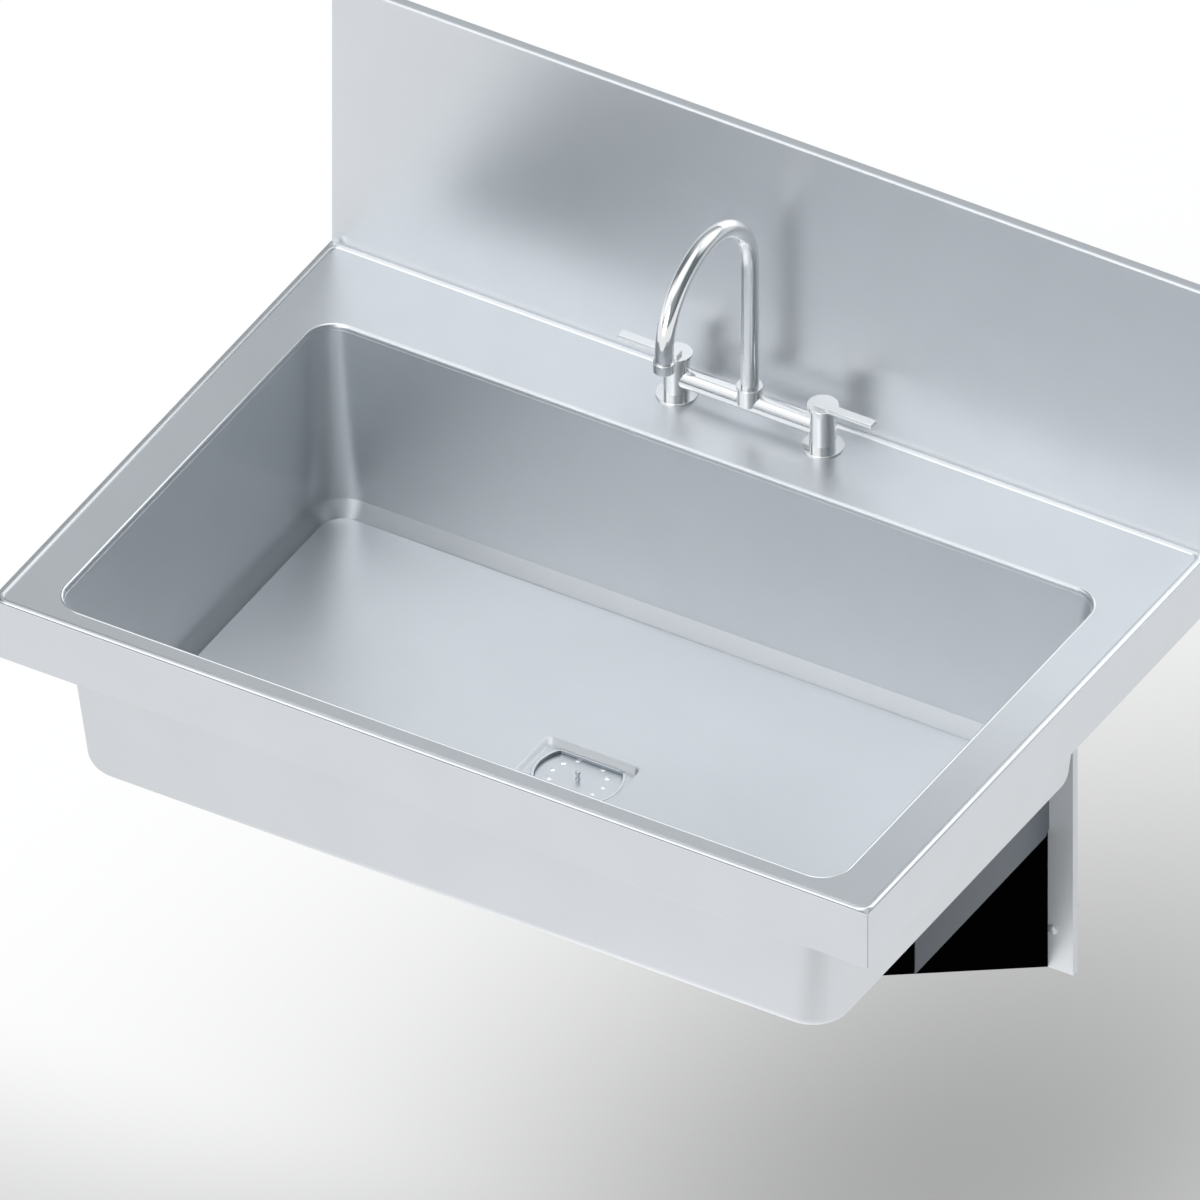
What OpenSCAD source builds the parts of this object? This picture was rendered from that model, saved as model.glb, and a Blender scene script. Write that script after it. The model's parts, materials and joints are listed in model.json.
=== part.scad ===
// Wall-hung service sink with a bridge tap, a lift-out strainer and two wall brackets.
// X runs along the wall, the front of the sink faces -Y and the wall is the plane Y = 0.
// Z = 0 is the top of the raised bead that runs round the rim. Millimetres.

/* [Overall] */
// Width along the wall
sink_w = 1220; // [1120:10:1320]
// Depth from the wall to the front apron
sink_d = 825; // [800:5:860]
// Thickness of the stainless sheet
sheet_t = 2; // [1.6:0.1:2.2]

/* [Rim] */
// Height of the raised bead over the deck
bead_h = 1.8; // [1.4:0.1:2.4]
// Width of the raised bead
bead_w = 11; // [9:0.5:11.4]
// Distance from the outer faces to the bead's ridge
ridge_inset = 6.5; // [6.2:0.1:8]
// Plan radius of the ridge at the rim's corners
bead_corner_r = 13; // [11:1:18]
// Height of the aprons below the ridge
apron_h = 84; // [70:1:100]
// Width of the hem turned in under the aprons
hem_w = 14; // [8:1:18]
// Outer bend radius where the deck turns down
apron_bend_r = 1; // [0.6:0.1:1]
// Deck from the rear ridge to the opening
rear_deck = 131; // [125:1:150]
// Deck from the front ridge to the opening
front_deck = 28; // [25:1:40]
// Deck from the side ridges to the opening
side_deck = 61.5; // [50:0.5:75]
// Plan radius of the opening's corners
opening_r = 36; // [28:1:44]
// Rolled edge of the opening
opening_edge_r = 1.5; // [1:0.1:1.5]

/* [Tub] */
// Depth of the tub below the deck
tub_depth = 257; // [220:1:280]
// How far the walls lean in from top to floor
tub_draft = 18; // [12:1:24]
// Radius between the walls and the floor
floor_fillet = 18; // [12:1:24]
// Plan radius of the floor's corners
floor_r = 50; // [45:1:56]
// Width of the flange welded under the deck
tub_flange_w = 12; // [8:1:16]
// Thickness of the damping pads under the floor
pad_t = 3; // [2:0.5:4]
// Length and width of one damping pad
pad_size = 210; // [160:10:230]

/* [Drain] */
// Distance from the rear ridge to the drain
drain_reach = 452; // [420:1:480]
// Width of the formed recess in the floor
recess_w = 129; // [124:1:140]
// Depth, front to rear, of the recess
recess_d = 79; // [78:1:90]
// How deep the recess is formed
recess_depth = 10; // [7:0.5:12]
// Plan radius of the recess
recess_r = 8; // [6:1:10]
// Slope of the recess's sides
recess_slope = 3; // [2:0.5:3]
// Diameter of the strainer plate
strainer_dia = 106; // [100:1:108]
// Strainer plate across its flats
strainer_flats = 64; // [60:1:64]
// Thickness of the strainer plate
strainer_t = 2; // [1.5:0.1:2.5]
// Diameter of one strainer hole
strainer_hole_dia = 6.2; // [5:0.2:7]
// Circle of the strainer holes
strainer_circle_dia = 70; // [60:1:76]
// Number of strainer holes
strainer_holes = 12; // [8:1:12]
// Clearance round the strainer plate
strainer_gap = 0.4; // [0.3:0.05:0.6]
// Height of the lift pin
knob_h = 11; // [8:0.5:14]
// Diameter of the lift pin's head
knob_dia = 6.4; // [5.4:0.2:8]
// How far the plate sits below the drain's lip
strainer_drop = 5; // [3:0.5:6]
// Depth of the cup under the plate
cup_depth = 10; // [8:1:14]
// Width of the lip on the recess's floor
drain_lip_w = 1.6; // [1.4:0.1:2]
// Wall of the drain body
drain_wall = 1.6; // [1.4:0.1:2]
// Outer diameter of the threaded spud
spud_dia = 48; // [46:0.5:50]
// Wall of the spud
spud_wall = 3.6; // [3:0.1:4.5]
// Length of the spud
spud_h = 34; // [28:1:40]
// Thickness of the washer under the spud
tail_washer_t = 2; // [1.5:0.1:3]
// Outer diameter of the tailpiece
tail_dia = 38.1; // [36:0.1:39]
// Wall of the tailpiece
tail_wall = 1.4; // [1:0.1:1.8]
// Length of the tailpiece below the spud
tail_len = 120; // [90:5:150]
// Coupling nut across its flats
tail_nut_w = 60; // [58:1:64]
// Height of the coupling nut
tail_nut_h = 16; // [14:1:20]

/* [Backsplash] */
// Height of the backsplash above the ridge
splash_h = 394.5; // [300:0.5:500]
// Depth of the backsplash's returns to the wall
splash_d = 13; // [12.6:0.1:15]
// Distance from the rear ridge to the splash's face
splash_gap = 5; // [4.6:0.2:5.4]
// Outer bend radius of the backsplash
splash_bend_r = 3.5; // [2.6:0.1:4.5]
// Length of the hanging strips
hanger_w = 1100; // [1000:10:1110]
// Height of the wall cleat's face above the ridge
cleat_top = 38; // [34:1:44]
// Drop of the wall cleat's face below the ridge
cleat_drop = 20; // [16:1:21]
// Height of the hooked part of both strips
hook_h = 30; // [24:1:40]
// Thickness of the hanging strips
hanger_t = 2; // [1.8:0.1:2.2]
// Spacing of the two holes in the wall cleat
cleat_hole_gap = 812.8; // [700:0.8:900]
// Diameter of the holes in the wall cleat
cleat_hole_dia = 9; // [7:0.5:11]

/* [Brackets] */
// Half the distance between the outer faces of the gussets
bracket_x = 385; // [360:5:410]
// Drop of the brackets below the ridge
bracket_drop = 717; // [660:1:760]
// Width of a wall channel
channel_w = 75; // [72:1:80]
// How far the channel shows outside the gusset
channel_out = 35; // [32:1:38]
// Sheet of the wall channels
channel_t = 2.5; // [2:0.1:3]
// Gap between the channel's top and the wall cleat
channel_top_gap = 3; // [2:0.5:6]
// Thickness of a gusset
gusset_t = 4; // [3:0.5:5]
// Slope of the gusset's lower edge in degrees
gusset_angle = 32.6; // [28:0.2:36]
// Height of the gusset's blunt nose
gusset_nose_h = 11; // [8:1:20]
// Width of the gusset's rear tab
gusset_tab_w = 30; // [26:1:32]
// Length of the doubler plate on the gusset
doubler_len = 319; // [260:1:350]
// Thickness of the doubler plate
doubler_t = 2; // [1.5:0.1:3]
// Clipped corner of the doubler plate
doubler_clip = 8; // [5:1:12]
// Distance from the gusset's top to the doubler's top
doubler_top_gap = 44; // [40:1:60]
// Width of the cradle rail's upper leg
rail_w = 44; // [40:1:50]
// Height of the cradle rail's side leg
rail_h = 40; // [36:1:48]
// Thickness of the cradle rail
rail_t = 3; // [2.5:0.5:4]
// Thickness of the rubber strip on the rail
rail_pad_t = 3; // [1.5:0.5:4]

/* [Bolts] */
// Diameter of the bracket bolts
bolt_dia = 8; // [6:0.5:8]
// Diameter of a bolt's head
bolt_head_dia = 13; // [12:0.5:13]
// Height of a bolt's head
bolt_head_h = 5; // [4:0.5:6]
// How far the wall bolts stand out behind the wall plane
wall_bolt_out = 45; // [30:1:60]
// Height of the lower wall bolts above the channel's foot
wall_bolt_foot = 60; // [50:1:80]
// Distance between lower and upper wall bolts
wall_bolt_rise = 500; // [440:1:520]

/* [Tap] */
// Distance between the two valve centres
valve_spacing = 203.2; // [196:0.1:210]
// Distance from the rear ridge to the tap's centre line
tap_reach = 43.2; // [40:0.1:50]
// Diameter of the escutcheons
escutcheon_dia = 52; // [48:1:56]
// Thickness of the escutcheons
escutcheon_t = 2.5; // [2:0.1:3.5]
// Diameter of the valve columns
column_dia = 32.7; // [31:0.1:34]
// Height of the handle's top over the ridge
handle_top = 61.6; // [60:0.1:66]
// Diameter of the handle's round cap
cap_dia = 38.6; // [36:0.2:40]
// Thickness of the handle's round cap
cap_t = 4; // [3.6:0.1:5]
// Running gap under the handle
handle_gap = 0.4; // [0.3:0.05:0.6]
// Length of the lever beyond the valve's axis
lever_out = 75; // [60:1:90]
// Length of the lever behind the valve's axis
lever_in = 8; // [5:0.5:10]
// Width of the lever
lever_w = 12.6; // [10:0.2:14]
// Thickness of the lever
lever_t = 5; // [4:0.2:6]
// Diameter of the valve stem
stem_dia = 8; // [7:0.2:9]
// Diameter of the cartridge
cartridge_dia = 24; // [22:0.2:25]
// Height of the bridge tube's axis over the ridge
bridge_z = 26.5; // [25:0.1:28]
// Diameter of the bridge tube
bridge_dia = 25.4; // [24:0.1:26]
// Wall of the bridge tube
bridge_wall = 3; // [2:0.1:3.5]
// Diameter of the threaded supply shanks
shank_dia = 21; // [20:0.1:22]
// Bore of the supply shanks
shank_bore_dia = 12; // [10:0.5:13]
// Length of the shanks below the deck
shank_len = 62; // [55:1:75]
// Thickness of the plate that stiffens the deck
deck_plate_t = 3; // [2:0.5:4]

/* [Spout] */
// Diameter of the collar that carries the spout
collar_dia = 32.5; // [31:0.1:34]
// Height of the collar above the bridge's axis
collar_h = 24.5; // [23:0.1:28]
// Diameter of the spout tube
spout_dia = 22.8; // [21:0.1:23.6]
// Wall of the spout tube
spout_wall = 1.6; // [1.2:0.1:2]
// Height of the arch's centre over the ridge
arch_z = 235.3; // [200:0.1:260]
// Radius of the arch at the tube's centre line
arch_r = 101.8; // [80:0.1:120]
// Height of the outlet over the ridge
outlet_z = 210.3; // [180:0.1:225]
// Diameter of the aerator housing
aerator_dia = 27; // [26:0.1:29]
// Height of the aerator housing
aerator_h = 14.3; // [12:0.1:18]

/* [Hidden] */
$fn = 64;

// Facets of the pressed tub's round edges
corner_fn = 72;
fillet_fn = 48;
// Overrun of every cut
cut = 1;
// Gap of a seated fit and of a running fit, on the radius
seat_gap = 0.05;
run_gap = 0.05;

// Rim
deck_z = -bead_h;
ridge_x = sink_w / 2 - ridge_inset;
ridge_front = -(sink_d - ridge_inset);
ridge_rear = -(splash_d + splash_gap);
splash_face = -splash_d;
splash_back = splash_face + sheet_t;
bead_half = bead_w / 2;
bead_arc_r = (bead_half * bead_half + bead_h * bead_h) / (2 * bead_h);
bead_arc_z = -bead_arc_r;
open_x = ridge_x - side_deck;
open_front = ridge_front + front_deck;
open_rear = ridge_rear - rear_deck;
deck_under = deck_z - sheet_t;
apron_foot = -apron_h;

// Tub
floor_z = deck_z - tub_depth;
tub_under = floor_z - sheet_t;
floor_x = open_x - tub_draft;
floor_front = open_front + tub_draft;
floor_rear = open_rear - tub_draft;

// Drain
drain_y = ridge_rear - drain_reach;
recess_z = floor_z - recess_depth;
strainer_r = strainer_dia / 2;
knob_neck_r = knob_dia / 3;
cup_r = strainer_r + strainer_gap;
cup_flat = strainer_flats / 2 + strainer_gap;
cup_out_r = cup_r + drain_wall;
cup_out_flat = cup_flat + drain_wall;
lip_r = cup_out_r + drain_lip_w;
lip_flat = cup_out_flat + drain_lip_w;
lip_top = recess_z + drain_wall / 2;
strainer_top = lip_top - strainer_drop;
seat_z = strainer_top - strainer_t;
cup_floor = seat_z - cup_depth;
seat_w = drain_wall + strainer_gap;
spud_foot = cup_floor - drain_wall - spud_h;
spud_bore_r = spud_dia / 2 - spud_wall;
tail_top = spud_foot - tail_washer_t;
tail_foot = tail_top - tail_len;
tail_flange_r = spud_dia / 2 - spud_wall / 4;
tail_shoulder_r = tail_dia / 2 + tail_wall / 4;
tail_nut_foot = tail_top - tail_wall - spud_wall / 2;

// Hanging strips: two hooked strips, one upside down on the other
hook_y = splash_back + hanger_t * 3;
cleat_leg_y = hook_y - hanger_t - seat_gap * 6;

// Brackets
channel_face = splash_back;
channel_top = -cleat_drop - channel_top_gap;
channel_foot = -bracket_drop;
rail_top = tub_under - rail_pad_t;
gusset_top = rail_top - rail_t;
gusset_rear = channel_face;
gusset_rise = gusset_top - gusset_nose_h - channel_foot;
gusset_len = gusset_rise / tan(gusset_angle);
gusset_front = gusset_rear - gusset_len;
tab_y = gusset_rear - gusset_t;
tab_margin = gusset_tab_w / 2;
doubler_foot = channel_foot + doubler_len * tan(gusset_angle);
doubler_top = gusset_top - doubler_top_gap;
rail_rear = tab_y - gusset_t;
rail_bolt_z = gusset_top - rail_h / 2;
rail_len = rail_rear - gusset_front;
rail_bolt_shares = [0.14, 0.52, 0.9];
gusset_bolt_shares = [0.06, 0.5, 0.94];

// Bolts
bolt_r = bolt_dia / 2;
bolt_hole_r = bolt_r + seat_gap * 4;
bolt_neck_r = bolt_r * 0.88;
bolt_head_r = bolt_head_dia / 2;
nut_h = bolt_dia * 0.7;
nut_r = bolt_head_r;
wall_bolt_x = bracket_x + bolt_head_r + seat_gap * 10;
wall_bolt_z = channel_foot + wall_bolt_foot;
spacer_r = bolt_head_r;

// Tap
valve_x = valve_spacing / 2;
tap_y = ridge_rear - tap_reach;
column_r = column_dia / 2;
cap_z = handle_top - cap_t;
column_top = cap_z - handle_gap;
cartridge_r = cartridge_dia / 2;
bridge_r = bridge_dia / 2;
socket_r = bridge_r + seat_gap;
socket_depth = column_r - sqrt(column_r * column_r - bridge_r * bridge_r) + bridge_wall / 4;
socket_x = column_r - socket_depth;
cartridge_z = bridge_z + socket_r + bridge_wall / 2;
stem_r = stem_dia / 2;
stem_z = cartridge_z + bridge_wall;
shank_r = shank_dia / 2;
shank_seat_z = deck_z + bridge_z / 3;
deck_hole_r = shank_r + sheet_t;
deck_plate_w = valve_spacing + escutcheon_dia * 2;
deck_plate_d = escutcheon_dia + shank_dia / 2;
deck_plate_z = deck_under - deck_plate_t;
washer_t = deck_plate_t * 0.8;
locknut_h = shank_dia * 0.4;
locknut_foot = deck_plate_z - washer_t - locknut_h;
relief_h = shank_dia * 0.08;
relief_r = shank_r * 0.94;
locknut_r = shank_r * 1.7;
set_screw_r = cap_t * 0.36;

// Spout
collar_r = collar_dia / 2;
collar_top = bridge_z + collar_h;
spout_r = spout_dia / 2;
spout_bore_r = spout_r - spout_wall;
bore_r = spout_r + run_gap;
collar_seat_z = bridge_z + bridge_r + spout_wall;
seal_t = spout_wall * 0.7;
spout_foot = collar_seat_z + seal_t + run_gap;
groove_z = (spout_foot + collar_top) / 2;
groove_h = spout_wall * 2;
groove_r = spout_r - spout_wall * 0.45;
spout_screw_r = spout_wall;
outlet_y = tap_y - arch_r * 2;
aerator_top = outlet_z + aerator_h;
aerator_r = aerator_dia / 2;
insert_h = aerator_h * 0.4;
spout_end = outlet_z + insert_h;
insert_r = spout_bore_r;
insert_ring_shares = [0.36, 0.74];
insert_hole_counts = [6, 12];
insert_hole_r = spout_wall * 0.55;

// Colours
stainless = [0.76, 0.78, 0.80];
stainless_dark = [0.55, 0.58, 0.61];
chrome = [0.86, 0.88, 0.90];
coated_black = [0.03, 0.03, 0.03];
rubber_black = [0.08, 0.08, 0.08];
ceramic_white = [0.92, 0.92, 0.90];
brass_yellow = [0.78, 0.63, 0.32];

// A box given by its two corners
module span(low, high) {
    translate(low) cube(high - low);
}

// A rod along X, centred on the origin's Y and Z
module rod_x(r, len) {
    rotate([0, 90, 0]) cylinder(r = r, h = len);
}

// A rod along +Y that starts at the origin
module rod_y(r, len) {
    rotate([-90, 0, 0]) cylinder(r = r, h = len);
}

// A rectangle with round corners, extruded upwards from its base
module round_slab(low, high, r, h) {
    translate([low.x + r, low.y, 0]) cube([high.x - low.x - 2 * r, high.y - low.y, h]);
    translate([low.x, low.y + r, 0]) cube([high.x - low.x, high.y - low.y - 2 * r, h]);
    for (x = [low.x + r, high.x - r], y = [low.y + r, high.y - r])
        translate([x, y, 0]) cylinder(r = r, h = h);
}

// A disc cut off by two flats across Y
module flatted_disc(r, flat, h) {
    intersection() {
        cylinder(r = r, h = h);
        translate([-r, -flat, 0]) cube([2 * r, 2 * flat, h]);
    }
}

// A hexagon bar given by its corner radius
module hex_bar(r, h) {
    cylinder(r = r, h = h, $fn = 6);
}

// Mirrors its children to the given side, -1 for left and 1 for right
module on_side(side) {
    if (side > 0) children();
    else mirror([1, 0, 0]) children();
}

// Rim: sheet deck with a raised bead, an opening and three aprons
module bead() {
    deck_low = [ridge_x - bead_corner_r, ridge_front + bead_corner_r];
    for (y = [ridge_front, ridge_rear])
        translate([-deck_low.x, y, bead_arc_z]) rod_x(bead_arc_r, 2 * deck_low.x);
    for (x = [-ridge_x, ridge_x])
        translate([x, deck_low.y, bead_arc_z])
            rod_y(bead_arc_r, ridge_rear - bead_corner_r - deck_low.y);
    for (x = [-deck_low.x, deck_low.x], y = [deck_low.y, ridge_rear - bead_corner_r])
        translate([x, y, bead_arc_z])
            rotate([0, 0, x > 0 ? (y > deck_low.y ? 0 : 270) : (y > deck_low.y ? 90 : 180)])
                rotate_extrude(angle = 90) translate([bead_corner_r, 0]) circle(r = bead_arc_r);
}

// The cut that rounds a long outer edge: a square bar less the round one left standing
module bend_cut_x(len, r) {
    difference() {
        translate([0, -cut, 0]) cube([len, r + cut, r + cut]);
        translate([-cut, r, 0]) rod_x(r, len + 2 * cut);
    }
}

module opening_roll() {
    r = opening_edge_r;
    z = deck_z - r;
    straight_x = 2 * (open_x - opening_r);
    straight_y = open_rear - open_front - 2 * opening_r;
    for (a = [0, 180])
        translate([0, (open_front + open_rear) / 2, z]) rotate([0, 0, a])
            translate([-straight_x / 2, (open_rear - open_front) / 2, 0]) difference() {
                translate([0, -cut, 0]) cube([straight_x, r + cut, r + cut]);
                translate([-cut, r, 0]) rod_x(r, straight_x + 2 * cut);
            }
    for (a = [0, 180])
        translate([0, (open_front + open_rear) / 2, z]) rotate([0, 0, a])
            translate([open_x, -straight_y / 2, 0]) difference() {
                translate([-cut, 0, 0]) cube([r + cut, straight_y, r + cut]);
                translate([r, -cut, 0]) rod_y(r, straight_y + 2 * cut);
            }
    for (x = [-1, 1], y = [-1, 1])
        translate([x * (open_x - opening_r),
                   (open_front + open_rear) / 2 + y * straight_y / 2, z])
            rotate([0, 0, x > 0 ? (y > 0 ? 0 : 270) : (y > 0 ? 90 : 180)])
                rotate_extrude(angle = 90) difference() {
                    translate([opening_r - cut, 0]) square([r + cut, r + cut]);
                    translate([opening_r + r, 0]) circle(r = r);
                }
}

module rim_deck() {
    half = sink_w / 2;
    color(stainless) difference() {
        union() {
            span([-half, -sink_d, deck_under], [half, splash_face, deck_z]);
            span([-half, -sink_d, apron_foot], [half, sheet_t - sink_d, deck_z]);
            span([-half, -sink_d, apron_foot], [half, hem_w - sink_d, apron_foot + sheet_t]);
            for (side = [-1, 1]) on_side(side) {
                span([half - sheet_t, -sink_d, apron_foot], [half, splash_face, deck_z]);
                span([half - hem_w, -sink_d, apron_foot],
                     [half, splash_face, apron_foot + sheet_t]);
            }
            intersection() {
                bead();
                span([-half, -sink_d, deck_under], [half, splash_face, 0]);
            }
        }
        translate([0, 0, deck_under - cut])
            round_slab([-open_x, open_front], [open_x, open_rear], opening_r,
                       sheet_t + bead_h + 2 * cut);
        opening_roll();
        translate([-half - cut, -sink_d, deck_z - apron_bend_r])
            bend_cut_x(sink_w + 2 * cut, apron_bend_r);
        for (a = [90, -90])
            rotate([0, 0, a])
                translate([a > 0 ? -sink_d - cut : splash_face - cut, -half,
                           deck_z - apron_bend_r])
                    bend_cut_x(sink_d + 2 * cut, apron_bend_r);
        for (x = [-valve_x, valve_x])
            translate([x, tap_y, deck_under - cut])
                cylinder(r = deck_hole_r, h = sheet_t + 2 * cut);
    }
}

// Tub: pressed bowl with leaning walls and a formed drain recess
module tub_form(grow) {
    hull() {
        for (x = [-1, 1], y = [-1, 1])
            translate([x * (open_x - opening_r),
                       (open_front + open_rear) / 2
                       + y * ((open_rear - open_front) / 2 - opening_r), deck_under])
                cylinder(r = opening_r + grow, h = sheet_t / 4, $fn = corner_fn);
        for (x = [-1, 1], y = [-1, 1])
            translate([x * (floor_x - floor_r),
                       (floor_front + floor_rear) / 2
                       + y * ((floor_rear - floor_front) / 2 - floor_r),
                       floor_z + floor_fillet])
                rotate_extrude($fn = corner_fn)
                    translate([floor_r - floor_fillet, 0])
                        intersection() {
                            circle(r = floor_fillet + grow, $fn = fillet_fn);
                            translate([0, -floor_fillet - grow])
                                square([floor_fillet + grow, floor_fillet + grow]);
                        }
    }
}

module recess_form(grow) {
    hull() {
        for (x = [-1, 1], y = [-1, 1]) {
            translate([x * (recess_w / 2 - recess_r), drain_y + y * (recess_d / 2 - recess_r),
                       floor_z])
                cylinder(r = recess_r + grow, h = sheet_t);
            translate([x * (recess_w / 2 - recess_r - recess_slope),
                       drain_y + y * (recess_d / 2 - recess_r - recess_slope), recess_z - grow])
                cylinder(r = recess_r + grow, h = sheet_t / 2);
        }
    }
}

module tub() {
    color(stainless) difference() {
        union() {
            tub_form(sheet_t);
            recess_form(sheet_t);
            translate([0, 0, deck_under - sheet_t])
                round_slab([-open_x - tub_flange_w, open_front - tub_flange_w],
                           [open_x + tub_flange_w, open_rear + tub_flange_w],
                           opening_r + tub_flange_w, sheet_t);
        }
        tub_form(0);
        recess_form(0);
        span([-sink_w, -sink_d, deck_under], [sink_w, 0, deck_z]);
        translate([0, drain_y, recess_z - sheet_t - cut])
            flatted_disc(cup_out_r + seat_gap, cup_out_flat + seat_gap, sheet_t + 2 * cut);
    }
}

// Damping pads stuck under the tub, clear of the rails and of the drain
module sound_pads() {
    pad_x = bracket_x / 2;
    color(rubber_black)
        for (x = [-1, 1], y = [-1, 1])
            translate([x * pad_x, (floor_front + floor_rear) / 2 + y * pad_size * 0.6,
                       tub_under - pad_t])
                round_slab([-pad_size / 2, -pad_size / 2], [pad_size / 2, pad_size / 2],
                           recess_r, pad_t);
}

// Drain
module drain_body() {
    color(chrome) translate([0, drain_y, 0]) difference() {
        union() {
            translate([0, 0, recess_z]) flatted_disc(lip_r, lip_flat, drain_wall / 2);
            translate([0, 0, cup_floor - drain_wall])
                flatted_disc(cup_out_r, cup_out_flat, recess_z - cup_floor + drain_wall);
            translate([0, 0, spud_foot])
                cylinder(r = spud_dia / 2, h = cup_floor - drain_wall - spud_foot);
        }
        translate([0, 0, seat_z]) flatted_disc(cup_r, cup_flat, lip_top - seat_z + cut);
        translate([0, 0, cup_floor])
            flatted_disc(cup_r - seat_w, cup_flat - seat_w, seat_z - cup_floor + cut);
        translate([0, 0, spud_foot - cut])
            cylinder(r = spud_bore_r, h = spud_h + drain_wall + 2 * cut);
    }
}

module strainer_plate() {
    color(stainless) translate([0, drain_y, seat_z]) difference() {
        flatted_disc(strainer_r, strainer_flats / 2, strainer_t);
        for (i = [0 : strainer_holes - 1])
            rotate([0, 0, i * 360 / strainer_holes]) translate([strainer_circle_dia / 2, 0, -cut])
                cylinder(d = strainer_hole_dia, h = strainer_t + 2 * cut);
        translate([0, 0, -cut]) cylinder(r = knob_neck_r + seat_gap, h = strainer_t + 2 * cut);
    }
}

// Lift pin with a round head, riveted through the plate
module strainer_knob() {
    head_h = knob_dia / 2;
    flange_t = strainer_t / 2;
    flange_r = knob_dia * 0.55;
    color(chrome) translate([0, drain_y, 0]) {
        translate([0, 0, seat_z - flange_t])
            cylinder(r = knob_neck_r, h = strainer_t + flange_t + knob_h - head_h / 2);
        for (z = [seat_z - flange_t, strainer_top])
            translate([0, 0, z]) cylinder(r = flange_r, h = flange_t);
        translate([0, 0, strainer_top + knob_h - head_h]) rotate_extrude()
            intersection() {
                translate([0, head_h / 4]) circle(r = head_h * 0.9);
                square([knob_dia / 2, head_h]);
            }
    }
}

// Tailpiece: a flanged tube whose shoulder fills the coupling nut's mouth
module tailpiece() {
    color(chrome) translate([0, drain_y, 0]) difference() {
        union() {
            translate([0, 0, tail_foot]) cylinder(d = tail_dia, h = tail_len);
            translate([0, 0, tail_nut_foot])
                cylinder(r = tail_shoulder_r, h = tail_top - tail_nut_foot);
            translate([0, 0, tail_top - tail_wall]) cylinder(r = tail_flange_r, h = tail_wall);
        }
        translate([0, 0, tail_foot - cut])
            cylinder(r = tail_dia / 2 - tail_wall, h = tail_len + 2 * cut);
    }
}

module tailpiece_washer() {
    color(rubber_black) translate([0, drain_y, tail_top]) difference() {
        cylinder(r = tail_flange_r, h = tail_washer_t);
        translate([0, 0, -cut]) cylinder(r = spud_bore_r, h = tail_washer_t + 2 * cut);
    }
}

// Coupling nut: grips the spud's thread and carries the tailpiece's flange
module tailpiece_nut() {
    shelf = tail_top - tail_wall - tail_nut_foot;
    color(brass_yellow) translate([0, drain_y, tail_nut_foot]) difference() {
        hex_bar(tail_nut_w / 2 / cos(30), tail_nut_h);
        translate([0, 0, shelf])
            cylinder(r = spud_dia / 2 + seat_gap, h = tail_nut_h);
        translate([0, 0, -cut])
            cylinder(r = tail_shoulder_r + seat_gap, h = tail_nut_h);
    }
}

// Backsplash: a panel with top and side returns, bent from one sheet
module splash_form(inset) {
    half = sink_w / 2 - inset;
    r = splash_bend_r - inset;
    front = splash_face + inset;
    back = inset > 0 ? cut : 0;
    foot = inset > 0 ? apron_foot - cut : apron_foot;
    intersection() {
        union() {
            span([-half, front + r, foot], [half, back, splash_h - inset]);
            span([-half, front, foot], [half, back, splash_h - inset - r]);
            translate([-half, front + r, splash_h - inset - r]) rod_x(r, 2 * half);
        }
        union() {
            span([-half, front + r, foot], [half, back, splash_h]);
            span([r - half, front, foot], [half - r, back, splash_h]);
            for (x = [r - half, half - r])
                translate([x, front + r, foot]) cylinder(r = r, h = splash_h - foot);
        }
    }
}

module backsplash() {
    color(stainless) difference() {
        splash_form(0);
        splash_form(sheet_t);
    }
}

module hanger_clip() {
    back = splash_back;
    web_z = cleat_top + hook_h;
    color(stainless_dark) union() {
        span([-hanger_w / 2, back, web_z], [hanger_w / 2, back + hanger_t, web_z + hook_h]);
        span([-hanger_w / 2, back, web_z], [hanger_w / 2, hook_y + hanger_t, web_z + hanger_t]);
        span([-hanger_w / 2, hook_y, cleat_top + hanger_t],
             [hanger_w / 2, hook_y + hanger_t, web_z + hanger_t]);
    }
}

module wall_cleat() {
    color(stainless_dark) difference() {
        union() {
            span([-hanger_w / 2, -hanger_t, -cleat_drop], [hanger_w / 2, 0, cleat_top]);
            span([-hanger_w / 2, cleat_leg_y, cleat_top - hanger_t], [hanger_w / 2, 0, cleat_top]);
            span([-hanger_w / 2, cleat_leg_y, cleat_top - hanger_t],
                 [hanger_w / 2, cleat_leg_y + hanger_t, cleat_top + hook_h]);
        }
        for (x = [-1, 1])
            translate([x * cleat_hole_gap / 2, -hanger_t - cut, (cleat_top - cleat_drop) / 2])
                rod_y(cleat_hole_dia / 2, hanger_t + 2 * cut);
    }
}

// Brackets, drawn for the right side
module channel() {
    out_x = bracket_x + channel_out;
    in_x = out_x - channel_w;
    color(stainless) difference() {
        span([in_x, channel_face, channel_foot], [out_x, 0, channel_top]);
        span([in_x + channel_t, channel_face + channel_t, channel_foot + channel_t],
             [out_x - channel_t, cut, channel_top + cut]);
        for (z = [wall_bolt_z, wall_bolt_z + wall_bolt_rise])
            translate([wall_bolt_x, channel_face - cut, z])
                rod_y(bolt_hole_r, channel_t + 2 * cut);
        for (share = gusset_bolt_shares)
            translate([bracket_x - gusset_tab_w / 2 - gusset_t / 2, channel_face - cut,
                       gusset_bolt_z(share)])
                rod_y(bolt_hole_r, channel_t + 2 * cut);
    }
}

function gusset_bolt_z(share) =
    channel_foot + tab_margin + share * (gusset_top - channel_foot - 2 * tab_margin);
function rail_bolt_y(share) = rail_rear - share * rail_len;

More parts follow.
